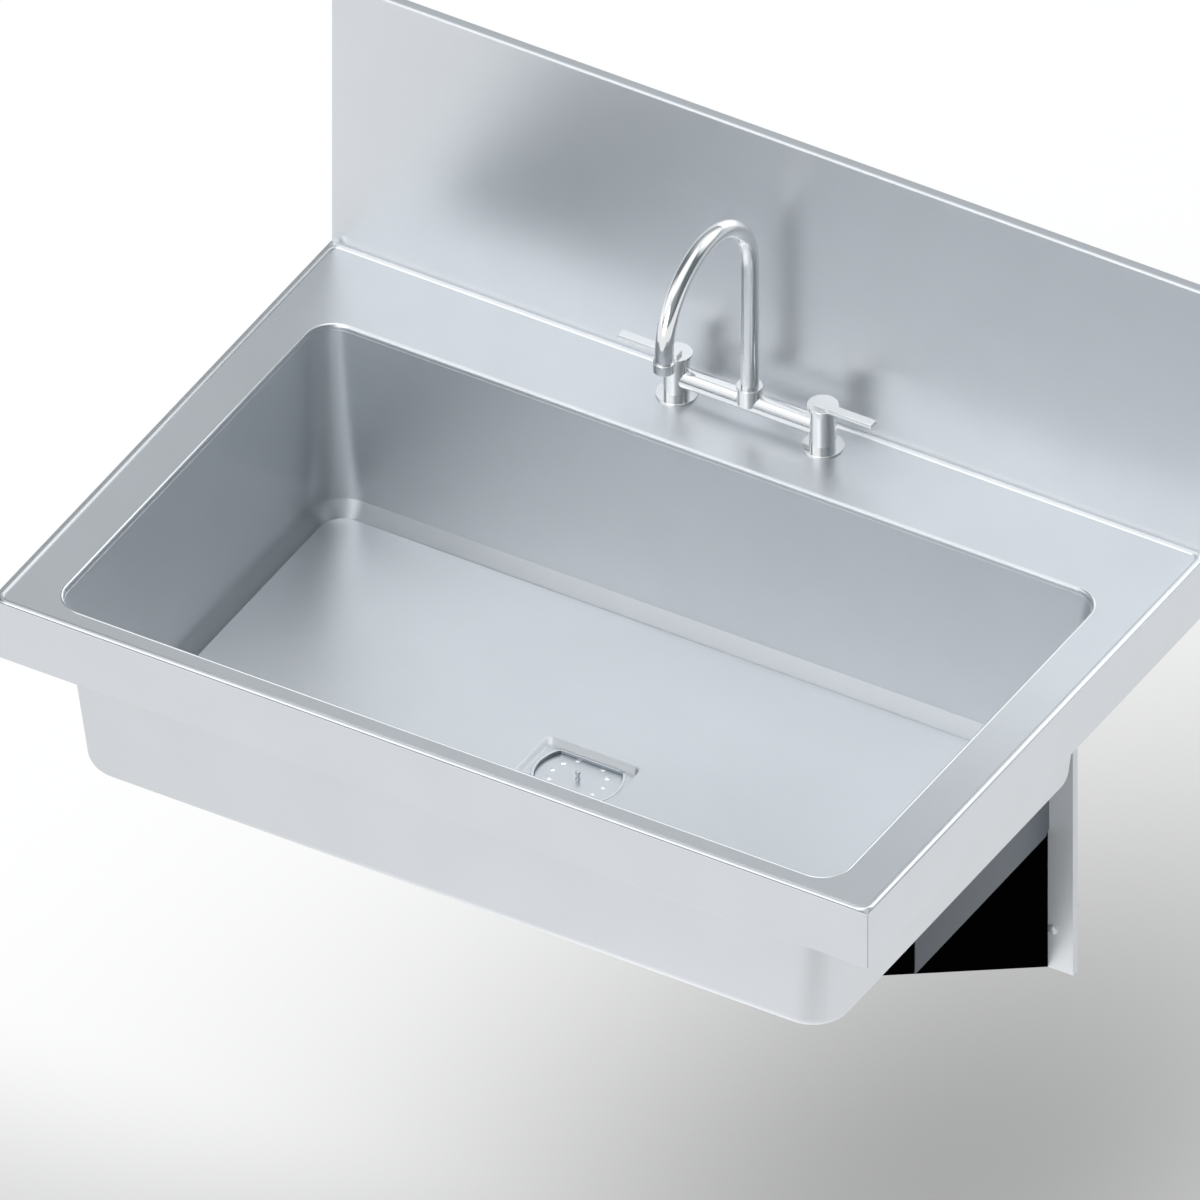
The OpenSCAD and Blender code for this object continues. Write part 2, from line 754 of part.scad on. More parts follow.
module gusset() {
    in_x = bracket_x - gusset_t;
    color(coated_black) difference() {
        union() {
            translate([in_x, 0, 0]) rotate([90, 0, 90]) linear_extrude(gusset_t)
                polygon([[gusset_rear, channel_foot], [gusset_rear, gusset_top],
                         [gusset_front, gusset_top], [gusset_front, gusset_top - gusset_nose_h]]);
            span([bracket_x - gusset_tab_w, tab_y, channel_foot + gusset_t],
                 [bracket_x - gusset_t / 2, gusset_rear, gusset_top]);
        }
        for (share = gusset_bolt_shares)
            translate([bracket_x - gusset_tab_w / 2 - gusset_t / 2, tab_y - cut,
                       gusset_bolt_z(share)])
                rod_y(bolt_hole_r, gusset_t + 2 * cut);
        for (share = rail_bolt_shares)
            translate([in_x - cut, rail_bolt_y(share), rail_bolt_z])
                rod_x(bolt_hole_r, gusset_t + 2 * cut);
    }
}

module gusset_doubler() {
    front = gusset_rear - doubler_len;
    clip_y = gusset_rear - doubler_clip;
    color(stainless_dark) translate([bracket_x, 0, 0]) rotate([90, 0, 90])
        linear_extrude(doubler_t)
            polygon([[clip_y, doubler_foot], [gusset_rear, doubler_foot + doubler_clip],
                     [gusset_rear, doubler_top], [front, doubler_top], [front, doubler_foot]]);
}

module cradle_rail() {
    side_x = bracket_x - gusset_t;
    slope_y = gusset_front + (rail_h - gusset_nose_h) / tan(gusset_angle);
    color(stainless) difference() {
        union() {
            span([bracket_x - rail_w, gusset_front, gusset_top], [bracket_x, rail_rear, rail_top]);
            translate([side_x - rail_t, 0, 0]) rotate([90, 0, 90]) linear_extrude(rail_t)
                polygon([[rail_rear, gusset_top - rail_h], [rail_rear, rail_top],
                         [gusset_front, rail_top], [gusset_front, gusset_top - gusset_nose_h],
                         [slope_y, gusset_top - rail_h]]);
        }
        for (share = rail_bolt_shares)
            translate([side_x - rail_t - cut, rail_bolt_y(share), rail_bolt_z])
                rod_x(bolt_hole_r, rail_t + 2 * cut);
    }
}

// Rubber strip, kept on the flat part of the tub's underside
module cradle_pad() {
    front = max(gusset_front, floor_front + floor_fillet);
    rear = floor_rear - floor_fillet;
    color(rubber_black)
        span([bracket_x - rail_w, front, rail_top], [bracket_x, rear, tub_under]);
}

// A domed bolt head at the origin, facing -Y
module bolt_head() {
    rotate([90, 0, 0]) intersection() {
        cylinder(r = bolt_head_r, h = bolt_head_h);
        translate([0, 0, bolt_head_h - bolt_head_r * 1.3]) sphere(r = bolt_head_r * 1.3);
    }
}

// A headed bolt with its shank along +Y
module bolt(shank_len) {
    rod_y(bolt_r, shank_len);
    bolt_head();
}

// A hexagon nut at the origin, standing along +Y
module nut() {
    rotate([-90, 0, 0]) difference() {
        hex_bar(nut_r, nut_h);
        translate([0, 0, -cut]) cylinder(r = bolt_r + seat_gap, h = nut_h + 2 * cut);
    }
}

// Wall bolts: a plain neck through the channel, the full thread behind the wall plane
module wall_bolts() {
    color(chrome)
        for (side = [-1, 1], z = [wall_bolt_z, wall_bolt_z + wall_bolt_rise])
            translate([side * wall_bolt_x, channel_face, z]) {
                bolt_head();
                rod_y(bolt_neck_r, -channel_face);
                translate([0, -channel_face, 0]) rod_y(bolt_r, wall_bolt_out);
            }
}

module wall_bolt_spacers() {
    gap = -channel_face - channel_t;
    color(stainless_dark)
        for (side = [-1, 1], z = [wall_bolt_z, wall_bolt_z + wall_bolt_rise])
            translate([side * wall_bolt_x, -gap, z]) difference() {
                rod_y(spacer_r, gap);
                translate([0, -cut, 0]) rod_y(bolt_hole_r, gap + 2 * cut);
            }
}

module gusset_bolts() {
    grip = gusset_t + channel_t;
    color(chrome)
        for (side = [-1, 1], share = gusset_bolt_shares)
            translate([side * (bracket_x - gusset_tab_w / 2 - gusset_t / 2), tab_y,
                       gusset_bolt_z(share)]) {
                bolt(grip + nut_h);
                translate([0, grip, 0]) nut();
            }
}

module rail_bolts() {
    grip = gusset_t + rail_t;
    color(chrome)
        for (side = [-1, 1], share = rail_bolt_shares)
            on_side(side) translate([bracket_x, rail_bolt_y(share), rail_bolt_z])
                rotate([0, 0, 90]) {
                    bolt(grip + nut_h);
                    translate([0, grip, 0]) nut();
                }
}

// Tap, drawn for the right side with the valve's axis at its own place
module at_valve() {
    translate([valve_x, tap_y, 0]) children();
}

module faucet_deck_plate() {
    color(stainless_dark) difference() {
        span([-deck_plate_w / 2, tap_y - deck_plate_d / 2, deck_plate_z],
             [deck_plate_w / 2, tap_y + deck_plate_d / 2, deck_under]);
        for (x = [-valve_x, valve_x])
            translate([x, tap_y, deck_plate_z - cut])
                cylinder(r = deck_hole_r, h = deck_plate_t + 2 * cut);
    }
}

module escutcheon() {
    edge = escutcheon_t * 0.4;
    color(chrome) at_valve() translate([0, 0, deck_z]) difference() {
        rotate_extrude() polygon([
            [0, 0], [escutcheon_dia / 2, 0], [escutcheon_dia / 2, escutcheon_t - edge],
            [escutcheon_dia / 2 - edge, escutcheon_t], [0, escutcheon_t]
        ]);
        translate([0, 0, -cut])
            cylinder(r = column_r + seat_gap, h = escutcheon_t + 2 * cut);
    }
}

module valve_column() {
    color(chrome) at_valve() difference() {
        translate([0, 0, deck_z]) cylinder(r = column_r, h = column_top - deck_z);
        translate([0, 0, cartridge_z])
            cylinder(r = cartridge_r + seat_gap, h = column_top - cartridge_z + cut);
        translate([0, 0, deck_z - cut])
            cylinder(r = shank_r + seat_gap, h = shank_seat_z - deck_z + cut);
        translate([0, 0, deck_z])
            cylinder(r = shank_bore_dia / 2, h = cartridge_z - deck_z + cut);
        translate([-column_r - cut, 0, bridge_z]) rod_x(socket_r, socket_depth + cut);
        translate([-column_r, 0, bridge_z]) rod_x(shank_bore_dia / 2, column_r);
    }
}

module cartridge() {
    top = column_top - handle_gap;
    color(ceramic_white) at_valve() difference() {
        translate([0, 0, cartridge_z]) cylinder(r = cartridge_r, h = top - cartridge_z);
        translate([0, 0, stem_z - run_gap])
            cylinder(r = stem_r + run_gap, h = top - stem_z + run_gap + cut);
    }
}

module valve_stem() {
    tip = handle_top - cap_t / 4;
    color(brass_yellow) at_valve() translate([0, 0, stem_z])
        cylinder(r = stem_r, h = tip - stem_z);
}

module lever_handle() {
    color(chrome) at_valve() difference() {
        union() {
            translate([0, 0, cap_z]) cylinder(r = cap_dia / 2, h = cap_t);
            translate([-lever_in, -lever_w, handle_top - cap_t / 4])
                cube([lever_in + lever_out, lever_w, lever_t + cap_t / 4]);
        }
        translate([0, 0, cap_z - cut])
            cylinder(r = stem_r + seat_gap, h = cap_t * 0.75 + seat_gap + cut);
        translate([0, stem_r, cap_z + cap_t / 2]) rod_y(set_screw_r + seat_gap, cap_dia / 2);
    }
}

module set_screw() {
    color(stainless_dark) at_valve() translate([0, stem_r + seat_gap, cap_z + cap_t / 2])
        rod_y(set_screw_r, (cap_dia / 2 - stem_r) * 0.8);
}

// Supply shank: a relief groove parts the locknut's thread from the free end's
module shank() {
    foot = deck_z - shank_len;
    color(brass_yellow) at_valve() difference() {
        union() {
            translate([0, 0, foot]) cylinder(r = shank_r, h = locknut_foot - relief_h - foot);
            translate([0, 0, locknut_foot]) cylinder(r = shank_r, h = shank_seat_z - locknut_foot);
            translate([0, 0, foot]) cylinder(r = relief_r, h = shank_seat_z - foot);
        }
        translate([0, 0, foot - cut])
            cylinder(r = shank_bore_dia / 2, h = shank_seat_z - foot + 2 * cut);
    }
}

module shank_washer() {
    color(rubber_black) at_valve() translate([0, 0, deck_plate_z - washer_t]) difference() {
        cylinder(r = locknut_r, h = washer_t);
        translate([0, 0, -cut]) cylinder(r = shank_r + seat_gap, h = washer_t + 2 * cut);
    }
}

module shank_locknut() {
    color(brass_yellow) at_valve() translate([0, 0, locknut_foot]) difference() {
        hex_bar(locknut_r, locknut_h);
        translate([0, 0, -cut]) cylinder(r = shank_r + seat_gap, h = locknut_h + 2 * cut);
    }
}

module bridge_tube() {
    half = valve_x - socket_x - seat_gap;
    color(chrome) translate([0, tap_y, bridge_z]) difference() {
        translate([-half, 0, 0]) rod_x(bridge_r, 2 * half);
        translate([-half - cut, 0, 0]) rod_x(bridge_r - bridge_wall, 2 * half + 2 * cut);
        cylinder(r = spout_bore_r - spout_wall, h = bridge_dia);
    }
}

module spout_collar() {
    color(chrome) translate([0, tap_y, 0]) difference() {
        translate([0, 0, bridge_z]) cylinder(r = collar_r, h = collar_h);
        translate([-collar_r - cut, 0, bridge_z]) rod_x(bridge_r, 2 * (collar_r + cut));
        translate([0, 0, bridge_z])
            cylinder(r = spout_bore_r - spout_wall, h = collar_h + cut);
        translate([0, 0, collar_seat_z]) cylinder(r = bore_r, h = collar_h);
        translate([0, bore_r - cut, groove_z])
            rod_y(spout_screw_r + seat_gap, collar_r - bore_r + 2 * cut);
    }
}

module spout_seal() {
    color(rubber_black) translate([0, tap_y, collar_seat_z]) difference() {
        cylinder(r = spout_r, h = seal_t);
        translate([0, 0, -cut]) cylinder(r = spout_bore_r, h = seal_t + 2 * cut);
    }
}

// Screw from behind whose tip runs in the spout's groove
module spout_set_screw() {
    tip = groove_r + run_gap * 4;
    color(stainless_dark) translate([0, tap_y + tip, groove_z])
        rod_y(spout_screw_r, collar_r - tip - run_gap * 10);
}

module spout() {
    color(chrome) {
        translate([0, tap_y, 0]) difference() {
            translate([0, 0, spout_foot]) cylinder(r = spout_r, h = arch_z - spout_foot);
            translate([0, 0, spout_foot - cut])
                cylinder(r = spout_bore_r, h = arch_z - spout_foot + 2 * cut);
            translate([0, 0, groove_z - groove_h / 2]) difference() {
                cylinder(r = spout_r + cut, h = groove_h);
                translate([0, 0, -cut]) cylinder(r = groove_r, h = groove_h + 2 * cut);
            }
        }
        translate([0, tap_y - arch_r, arch_z]) rotate([90, 0, 90])
            rotate_extrude(angle = 180) translate([arch_r, 0]) difference() {
                circle(r = spout_r);
                circle(r = spout_bore_r);
            }
        translate([0, outlet_y, spout_end]) difference() {
            cylinder(r = spout_r, h = arch_z - spout_end);
            translate([0, 0, -cut]) cylinder(r = spout_bore_r, h = arch_z - spout_end + 2 * cut);
        }
    }
}

module aerator_housing() {
    color(chrome) translate([0, outlet_y, outlet_z]) difference() {
        cylinder(r = aerator_r, h = aerator_h);
        translate([0, 0, insert_h]) cylinder(r = spout_r + seat_gap, h = aerator_h);
        translate([0, 0, -cut]) cylinder(r = insert_r + seat_gap, h = aerator_h);
    }
}

module aerator_insert() {
    inset = spout_wall / 2;
    color(stainless_dark) translate([0, outlet_y, outlet_z + inset]) difference() {
        cylinder(r = insert_r, h = insert_h - inset);
        for (ring = [0 : len(insert_ring_shares) - 1])
            for (i = [0 : insert_hole_counts[ring] - 1])
                rotate([0, 0, i * 360 / insert_hole_counts[ring]])
                    translate([insert_ring_shares[ring] * insert_r, 0, -cut])
                        cylinder(r = insert_hole_r, h = insert_h + 2 * cut);
    }
}

tub();
rim_deck();
backsplash();
faucet_deck_plate();
sound_pads();
hanger_clip();
wall_cleat();
on_side(-1) channel();  // left_wall_channel
on_side(1) channel();  // right_wall_channel
on_side(-1) gusset();  // left_gusset
on_side(1) gusset();  // right_gusset
on_side(-1) gusset_doubler();  // left_gusset_doubler
on_side(1) gusset_doubler();  // right_gusset_doubler
on_side(-1) cradle_rail();  // left_cradle_rail
on_side(1) cradle_rail();  // right_cradle_rail
on_side(-1) cradle_pad();  // left_cradle_pad
on_side(1) cradle_pad();  // right_cradle_pad
wall_bolts();
wall_bolt_spacers();
gusset_bolts();
rail_bolts();
drain_body();
strainer_plate();
strainer_knob();
tailpiece_washer();
tailpiece_nut();
tailpiece();
on_side(-1) escutcheon();  // left_escutcheon
on_side(1) escutcheon();  // right_escutcheon
on_side(-1) valve_column();  // left_valve_column
on_side(1) valve_column();  // right_valve_column
on_side(-1) cartridge();  // left_cartridge
on_side(1) cartridge();  // right_cartridge
on_side(-1) valve_stem();  // left_valve_stem
on_side(1) valve_stem();  // right_valve_stem
on_side(-1) lever_handle();  // left_lever_handle
on_side(1) lever_handle();  // right_lever_handle
on_side(-1) set_screw();  // left_set_screw
on_side(1) set_screw();  // right_set_screw
on_side(-1) shank();  // left_shank
on_side(1) shank();  // right_shank
on_side(-1) shank_washer();  // left_shank_washer
on_side(1) shank_washer();  // right_shank_washer
on_side(-1) shank_locknut();  // left_shank_locknut
on_side(1) shank_locknut();  // right_shank_locknut
bridge_tube();
spout_collar();
spout_seal();
spout_set_screw();
spout();
aerator_housing();
aerator_insert();
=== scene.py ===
import json
import math

import bmesh
import bpy
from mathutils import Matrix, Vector

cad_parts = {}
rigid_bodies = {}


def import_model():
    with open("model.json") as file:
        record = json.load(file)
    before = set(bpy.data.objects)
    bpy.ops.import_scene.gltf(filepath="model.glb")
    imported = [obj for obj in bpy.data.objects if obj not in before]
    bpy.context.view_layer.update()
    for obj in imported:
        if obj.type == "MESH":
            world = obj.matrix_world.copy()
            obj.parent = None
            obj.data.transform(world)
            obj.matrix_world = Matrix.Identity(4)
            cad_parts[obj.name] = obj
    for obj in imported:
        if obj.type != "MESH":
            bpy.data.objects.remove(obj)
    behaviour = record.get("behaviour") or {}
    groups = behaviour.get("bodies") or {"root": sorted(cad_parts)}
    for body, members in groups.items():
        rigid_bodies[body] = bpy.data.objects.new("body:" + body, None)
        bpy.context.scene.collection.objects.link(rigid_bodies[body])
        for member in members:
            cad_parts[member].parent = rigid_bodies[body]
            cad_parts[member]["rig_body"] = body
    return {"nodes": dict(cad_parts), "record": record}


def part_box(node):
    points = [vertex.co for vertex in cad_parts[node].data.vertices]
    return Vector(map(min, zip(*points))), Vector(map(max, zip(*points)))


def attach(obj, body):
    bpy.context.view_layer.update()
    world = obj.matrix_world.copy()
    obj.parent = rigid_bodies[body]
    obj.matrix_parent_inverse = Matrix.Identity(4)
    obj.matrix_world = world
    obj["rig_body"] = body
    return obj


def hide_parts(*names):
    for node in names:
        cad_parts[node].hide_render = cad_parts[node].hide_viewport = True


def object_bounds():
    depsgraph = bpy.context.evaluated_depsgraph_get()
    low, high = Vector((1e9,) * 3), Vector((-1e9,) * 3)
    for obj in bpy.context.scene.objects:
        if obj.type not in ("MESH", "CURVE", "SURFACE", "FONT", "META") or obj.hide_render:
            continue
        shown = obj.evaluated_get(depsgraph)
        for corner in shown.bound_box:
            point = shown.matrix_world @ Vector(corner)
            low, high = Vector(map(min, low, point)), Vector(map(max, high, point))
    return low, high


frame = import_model()
cad_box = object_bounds()

MM = 0.001
TURN = 2 * math.pi
TINY = 1e-6
NEARLY_ONE = 0.9999

# Camera: the photograph's parallel view, in a square picture VIEW_WIDTH metres wide
VIEW_AZIMUTH = math.radians(30.27)
VIEW_ELEVATION = math.radians(37.955)
VIEW_WIDTH = 1.44
VIEW_TARGET = Vector((-0.00391, -0.41085, -0.04237))
VIEW_DISTANCE = 6.0
VIEW_FAR = 50.0

# Studio floor: its distance below the object, its width and its tones
FLOOR_DROP = 0.18
FLOOR_SIZE = 30.0
FLOOR_GREY = 0.85
FLOOR_GLOW = 0.85
FLOOR_TONE = 1.06
# Painted shadow of the sink on the floor, a grey patch that the eye sees: its middle, its reach in X
# and Y, and its depth
SHADE_CENTRE = (0.39, -0.21)
SHADE_REACH = (0.61, 0.98)
SHADE_DEPTH = 0.67
# Painted shade: the floor also turns grey towards the front, from the first Y to the second
FRONT_FADE = (-0.49, -0.93)
FRONT_SHADE = 0.29
# Patches that only metal sees: X and Y of the middle, the distance at which they have faded by
# half, and how much darker they are, or lighter where that is negative
FLOOR_DIM_SPOT = (1.05, -1.85, 0.5, 0.42)
FLOOR_BRIGHT_SPOT = (0.0, -0.55, 0.4, -0.45)

# Studio lights as soft round panels: azimuth, elevation and half width in degrees, strength
PANELS = (
    ("front left window", -30, 38, 40, 0.88),
    ("overhead", 0, 75, 40, 1.15),
    ("overhead rear", 180, 65, 35, 0.7),
    ("low front", 0, 8, 25, 3.9),
    ("low front left", -60, 15, 30, 0.8),
    ("rear right", 150, 35, 35, 1.1),
    ("rear left", -150, 38, 40, 0.29),
    ("front right", 30, 30, 35, 0.15),
)
# What metal sees of the floor and everything below the horizon, and of the dim upper room
BELOW = (0.87, 0.875, 0.885, 1.0)
CEILING = (0.076, 0.101, 0.117, 1.0)
HORIZON = (-0.03, 0.06)

# Noise in the finishes: the fine grain with its relief, and the broad clouds in a metal's tone.
# A tone share is the tone of the darkest parts, and a roughness share is the range in which the
# roughness varies
GRAIN_DETAIL = 3.0
GRAIN_ROUGHNESS = 0.6
GRAIN_HEIGHT = 0.4 * MM
CLOUD_SCALE = 9.0
CLOUD_RANGE = (0.3, 0.7)
METAL_TONE_SHARE = 0.98
METAL_ROUGHNESS_SHARE = 0.25
PLAIN_TONE_SHARE = 0.9
PLAIN_ROUGHNESS_SHARE = 0.2
BRUSHED = (0.03, 1.0, 1.0)
EVEN = (1.0, 1.0, 1.0)
# Painted shade: the doubler plates darken from the second Y towards the first, down to this share of
# their tone
DOUBLER_PAINTED_SHADE = (-0.42, -0.03, 0.58)

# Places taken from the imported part
rim_low, rim_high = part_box("rim_deck")
splash_low, splash_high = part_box("backsplash")
drain_low, drain_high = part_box("drain_body")
cup_y = (drain_low.y + drain_high.y) / 2
channel_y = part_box("left_wall_channel")[0].y

# Rim
SHEET = 2 * MM
RIM_HALF = rim_high.x
RIM_FRONT = rim_low.y
SPLASH_FACE = rim_high.y
APRON_FOOT = rim_low.z
BEAD_HEIGHT = 1.8 * MM
BEAD_HALF = 4.2 * MM
BEAD_FOOT_R = 0.5 * MM
BEAD_CORNER_R = 13 * MM
RIDGE_INSET = 6.5 * MM
RIDGE_TO_SPLASH = 5 * MM
DECK_Z = -BEAD_HEIGHT
DECK_UNDER = DECK_Z - SHEET
APRON_BEND_R = 0.5 * MM
APRON_CORNER_R = 1.2 * MM
HEM = 14 * MM
HEM_BEND_R = 1.5 * MM
RIDGE_X = RIM_HALF - RIDGE_INSET
RIDGE_FRONT = RIM_FRONT + RIDGE_INSET
RIDGE_REAR = SPLASH_FACE - RIDGE_TO_SPLASH
# The bead takes a painted highlight and then a painted shade line, by the distance outwards from its
# middle
HIGHLIGHT_FROM = -1 * MM
SHADE_LINE_FROM = 3.8 * MM

# Opening and tub
OPEN_X = RIDGE_X - 61.5 * MM
OPEN_FRONT = RIDGE_FRONT + 28 * MM
OPEN_REAR = RIDGE_REAR - 131 * MM
OPEN_R = 36 * MM
OPEN_ROLL = 7 * MM
OPEN_ROLL_RUN = 2.5 * MM
OPEN_LINE = 0.6 * MM
OPEN_LINE_W = 2 * MM
TUB_LEAN = 18 * MM
TUB_FILLET = 18 * MM
TUB_FLOOR_R = 50 * MM
TUB_FLOOR_Z = DECK_Z - 257 * MM
# Heights of the rings on the walls, as shares of the way down to the fillet
WALL_SHARES = (0.34, 0.67)
# The angles above level at which the fillet's shading points: at its foot, all the way along the
# rear wall, and at the rear wall's foot
FILLET_TILT = math.radians(29)
REAR_TILT = math.radians(32)
FOOT_TILT = math.radians(24)
# The shading of the drain recess keeps this share of its slope
RECESS_SHADE_SHARE = 0.35

# Drain recess, cup and lift pin
RECESS_HALF_X = 64.5 * MM
RECESS_HALF_Y = 39.5 * MM
RECESS_R = 8 * MM
RECESS_DEPTH = 10 * MM
RECESS_SLOPE = 3 * MM
RECESS_EDGE_R = 4 * MM
CUP_R = 53.4 * MM
CUP_FLAT = 32.4 * MM
CUP_WALL = 1.6 * MM
CUP_LIP = 2.4 * MM
CUP_SEAT = 2 * MM
CUP_DEPTH = 10 * MM
PLATE_DROP = 7 * MM
SPUD_R = 24 * MM
SPUD_WALL = 3.6 * MM
SPUD_PITCH = 2.2 * MM
SPUD_CLEAR_SHARE = 1.2
KNOB_HEAD_R = 3.2 * MM
KNOB_HEAD_H = 3.2 * MM
KNOB_FLANGE = 1 * MM

# Backsplash
SPLASH_BEND_R = 3.5 * MM
SPLASH_CORNER_R = 2.5 * MM
SPLASH_FRAME = 12 * MM

# Tap
COLUMN_EDGE_R = 0.6 * MM
ESCUTCHEON_EDGE_R = 0.9 * MM
CAP_R = 19.3 * MM
CAP_T = 4 * MM
CAP_EDGE_R = 0.7 * MM
LEVER_EDGE_R = 1 * MM
LEVER_DEPTH = 12.6 * MM
# The flat bar reaches this far past the valve's axis, and starts at this share of the cap's height
LEVER_ROOT = 8 * MM
LEVER_START_SHARE = 0.75
BRIDGE_WALL = 3 * MM
COLLAR_EDGE_R = 0.9 * MM
SPOUT_R = 11.4 * MM
SPOUT_WALL = 1.6 * MM
ARCH_R = 101.8 * MM
AERATOR_EDGE_R = 0.9 * MM
# The spout ends this far above the foot of the aerator's housing
SPOUT_END_LIFT = 5.7 * MM
SHANK_PITCH = 1.8 * MM
SHANK_BORE_R = 6 * MM

# Wall bolts
BOLT_R = 4 * MM
BOLT_CORE_SHARE = 0.88
BOLT_PITCH = 1.25 * MM
BOLT_HEAD_R = 6.5 * MM
BOLT_HEAD_H = 5 * MM
BOLT_RIM_SHARE = 0.45
BOLT_DOME_SHARE = 0.3

# Fineness of the meshes: steps to a corner, bend or turn, and rows to a thread's pitch
BEND_STEPS = 6
FINE_BEND_STEPS = 4
CORNER_STEPS = 12
STRAIGHT_STEPS = 11
CUP_STEPS = 20
ROLL_STEPS = 10
LINE_STEPS = 4
FOOT_STEPS = 3
FILLET_STEPS = 10
LATHE_STEPS = 96
SMALL_LATHE_STEPS = 32
SHAFT_STEPS = 24
ARCH_STEPS = 48
TUBE_STEPS = 48
THREAD_STEPS = 36
SPUD_STEPS = 64
THREAD_ROWS = 6
# Depth of a thread as a share of its pitch
THREAD_DEPTH_SHARE = 0.45
# Edges over the first angle stay sharp in the shading, a node's own edges are broken over the
# second, and faces that meet under the third are joined
SHARP_ANGLE = math.radians(35)
BEVEL_ANGLE = math.radians(30)
FLAT_ANGLE = math.radians(0.5)
# A face lies level if its normal rises more than this
FACING_UP = 0.5

# Width of the broken edge of a node that keeps its own shape, and of the small ones among them
SOFT_EDGE = 0.4 * MM
SOFT_EDGE_OF = {"aerator_insert": 0.1 * MM, "strainer_plate": 0.25 * MM, "spout_seal": 0.15 * MM,
                "spout_set_screw": 0.15 * MM, "left_set_screw": 0.15 * MM,
                "right_set_screw": 0.15 * MM}


def add_camera():
    data = bpy.data.cameras.new("view")
    data.type = "ORTHO"
    data.ortho_scale = VIEW_WIDTH
    data.clip_end = VIEW_FAR
    camera = bpy.data.objects.new("view", data)
    bpy.context.scene.collection.objects.link(camera)
    back = Vector((math.sin(VIEW_AZIMUTH) * math.cos(VIEW_ELEVATION),
                   -math.cos(VIEW_AZIMUTH) * math.cos(VIEW_ELEVATION),
                   math.sin(VIEW_ELEVATION)))
    camera.location = VIEW_TARGET + back * VIEW_DISTANCE
    camera.rotation_euler = back.to_track_quat("Z", "Y").to_euler()
    bpy.context.scene.camera = camera


# Materials and light
def rgb(red, green, blue):
    return (red, green, blue, 1.0)


def toned(colour, share):
    return rgb(*[c * share for c in colour])


class Nodes:
    """Short names for building one node tree."""

    def __init__(self, tree):
        self.tree = tree
        tree.nodes.clear()

    def add(self, kind, inputs=None, **settings):
        node = self.tree.nodes.new(kind)
        for name, value in settings.items():
            setattr(node, name, value)
        for key, value in (inputs or {}).items():
            self.put(node.inputs[key], value)
        return node

    def put(self, socket, value):
        if isinstance(value, bpy.types.NodeSocket):
            self.tree.links.new(value, socket)
        else:
            socket.default_value = value

    def math(self, operation, a, b=0.0, c=0.0):
        return self.add("ShaderNodeMath", {0: a, 1: b, 2: c}, operation=operation).outputs[0]

    def smooth(self, value, low, high, start=0.0, end=1.0):
        """Goes smoothly from start to end while the value goes from low to high."""
        node = self.add("ShaderNodeMapRange", {"Value": value, "From Min": low, "From Max": high,
                                               "To Min": start, "To Max": end},
                        interpolation_type="SMOOTHSTEP")
        return node.outputs["Result"]

    def mix(self, factor, a, b):
        node = self.add("ShaderNodeMix", data_type="RGBA")
        self.put(node.inputs[0], factor)
        self.put(node.inputs[6], a)
        self.put(node.inputs[7], b)
        return node.outputs[2]

    def noise(self, vector, scale, detail=2.0, roughness=0.5):
        node = self.add("ShaderNodeTexNoise", {"Vector": vector, "Scale": scale, "Detail": detail,
                                               "Roughness": roughness})
        return node.outputs["Fac"]

    def grain(self, vector, scale):
        return self.noise(vector, scale, GRAIN_DETAIL, GRAIN_ROUGHNESS)

    def axis(self, vector, letter):
        return self.add("ShaderNodeSeparateXYZ", {"Vector": vector}).outputs[letter]

    def blend(self, factor, a, b):
        """Mixes two shader nodes."""
        return self.add("ShaderNodeMixShader", {0: factor, 1: a.outputs[0], 2: b.outputs[0]})

    def rays(self):
        """What the eye sees, straight or through something clear, and what a reflection sees."""
        path = self.add("ShaderNodeLightPath").outputs
        seen = self.math("MAXIMUM", path["Is Camera Ray"], path["Is Transmission Ray"])
        return seen, path["Is Glossy Ray"]


def new_material(name):
    material = bpy.data.materials.new(name)
    material.use_nodes = True
    return material, Nodes(material.node_tree)


def add_world():
    """White to the eye; for light and reflections, soft panels in a dim room over a pale floor."""
    world = bpy.data.worlds.new("studio")
    bpy.context.scene.world = world
    world.use_nodes = True
    n = Nodes(world.node_tree)
    direction = n.add("ShaderNodeTexCoord").outputs["Generated"]
    level = 0.0
    for _, azimuth, elevation, reach, strength in PANELS:
        across, up = math.radians(azimuth), math.radians(elevation)
        aim = (math.sin(across) * math.cos(up), -math.cos(across) * math.cos(up), math.sin(up))
        dot = n.add("ShaderNodeVectorMath", {0: direction, 1: aim}, operation="DOT_PRODUCT")
        glow = n.smooth(dot.outputs["Value"], math.cos(math.radians(reach)), 1.0)
        level = n.math("MULTIPLY_ADD", glow, strength, level)
    seen, _ = n.rays()
    room = n.mix(n.smooth(n.axis(direction, "Z"), *HORIZON), BELOW, CEILING)
    dim = n.add("ShaderNodeBackground", {"Color": room, "Strength": 1.0})
    bright = n.add("ShaderNodeBackground", {"Color": rgb(1, 1, 1), "Strength": level})
    both = n.add("ShaderNodeAddShader", {0: dim.outputs[0], 1: bright.outputs[0]})
    white = n.add("ShaderNodeBackground", {"Color": rgb(1, 1, 1), "Strength": 1.0})
    n.add("ShaderNodeOutputWorld", {"Surface": n.blend(seen, both, white).outputs[0]})


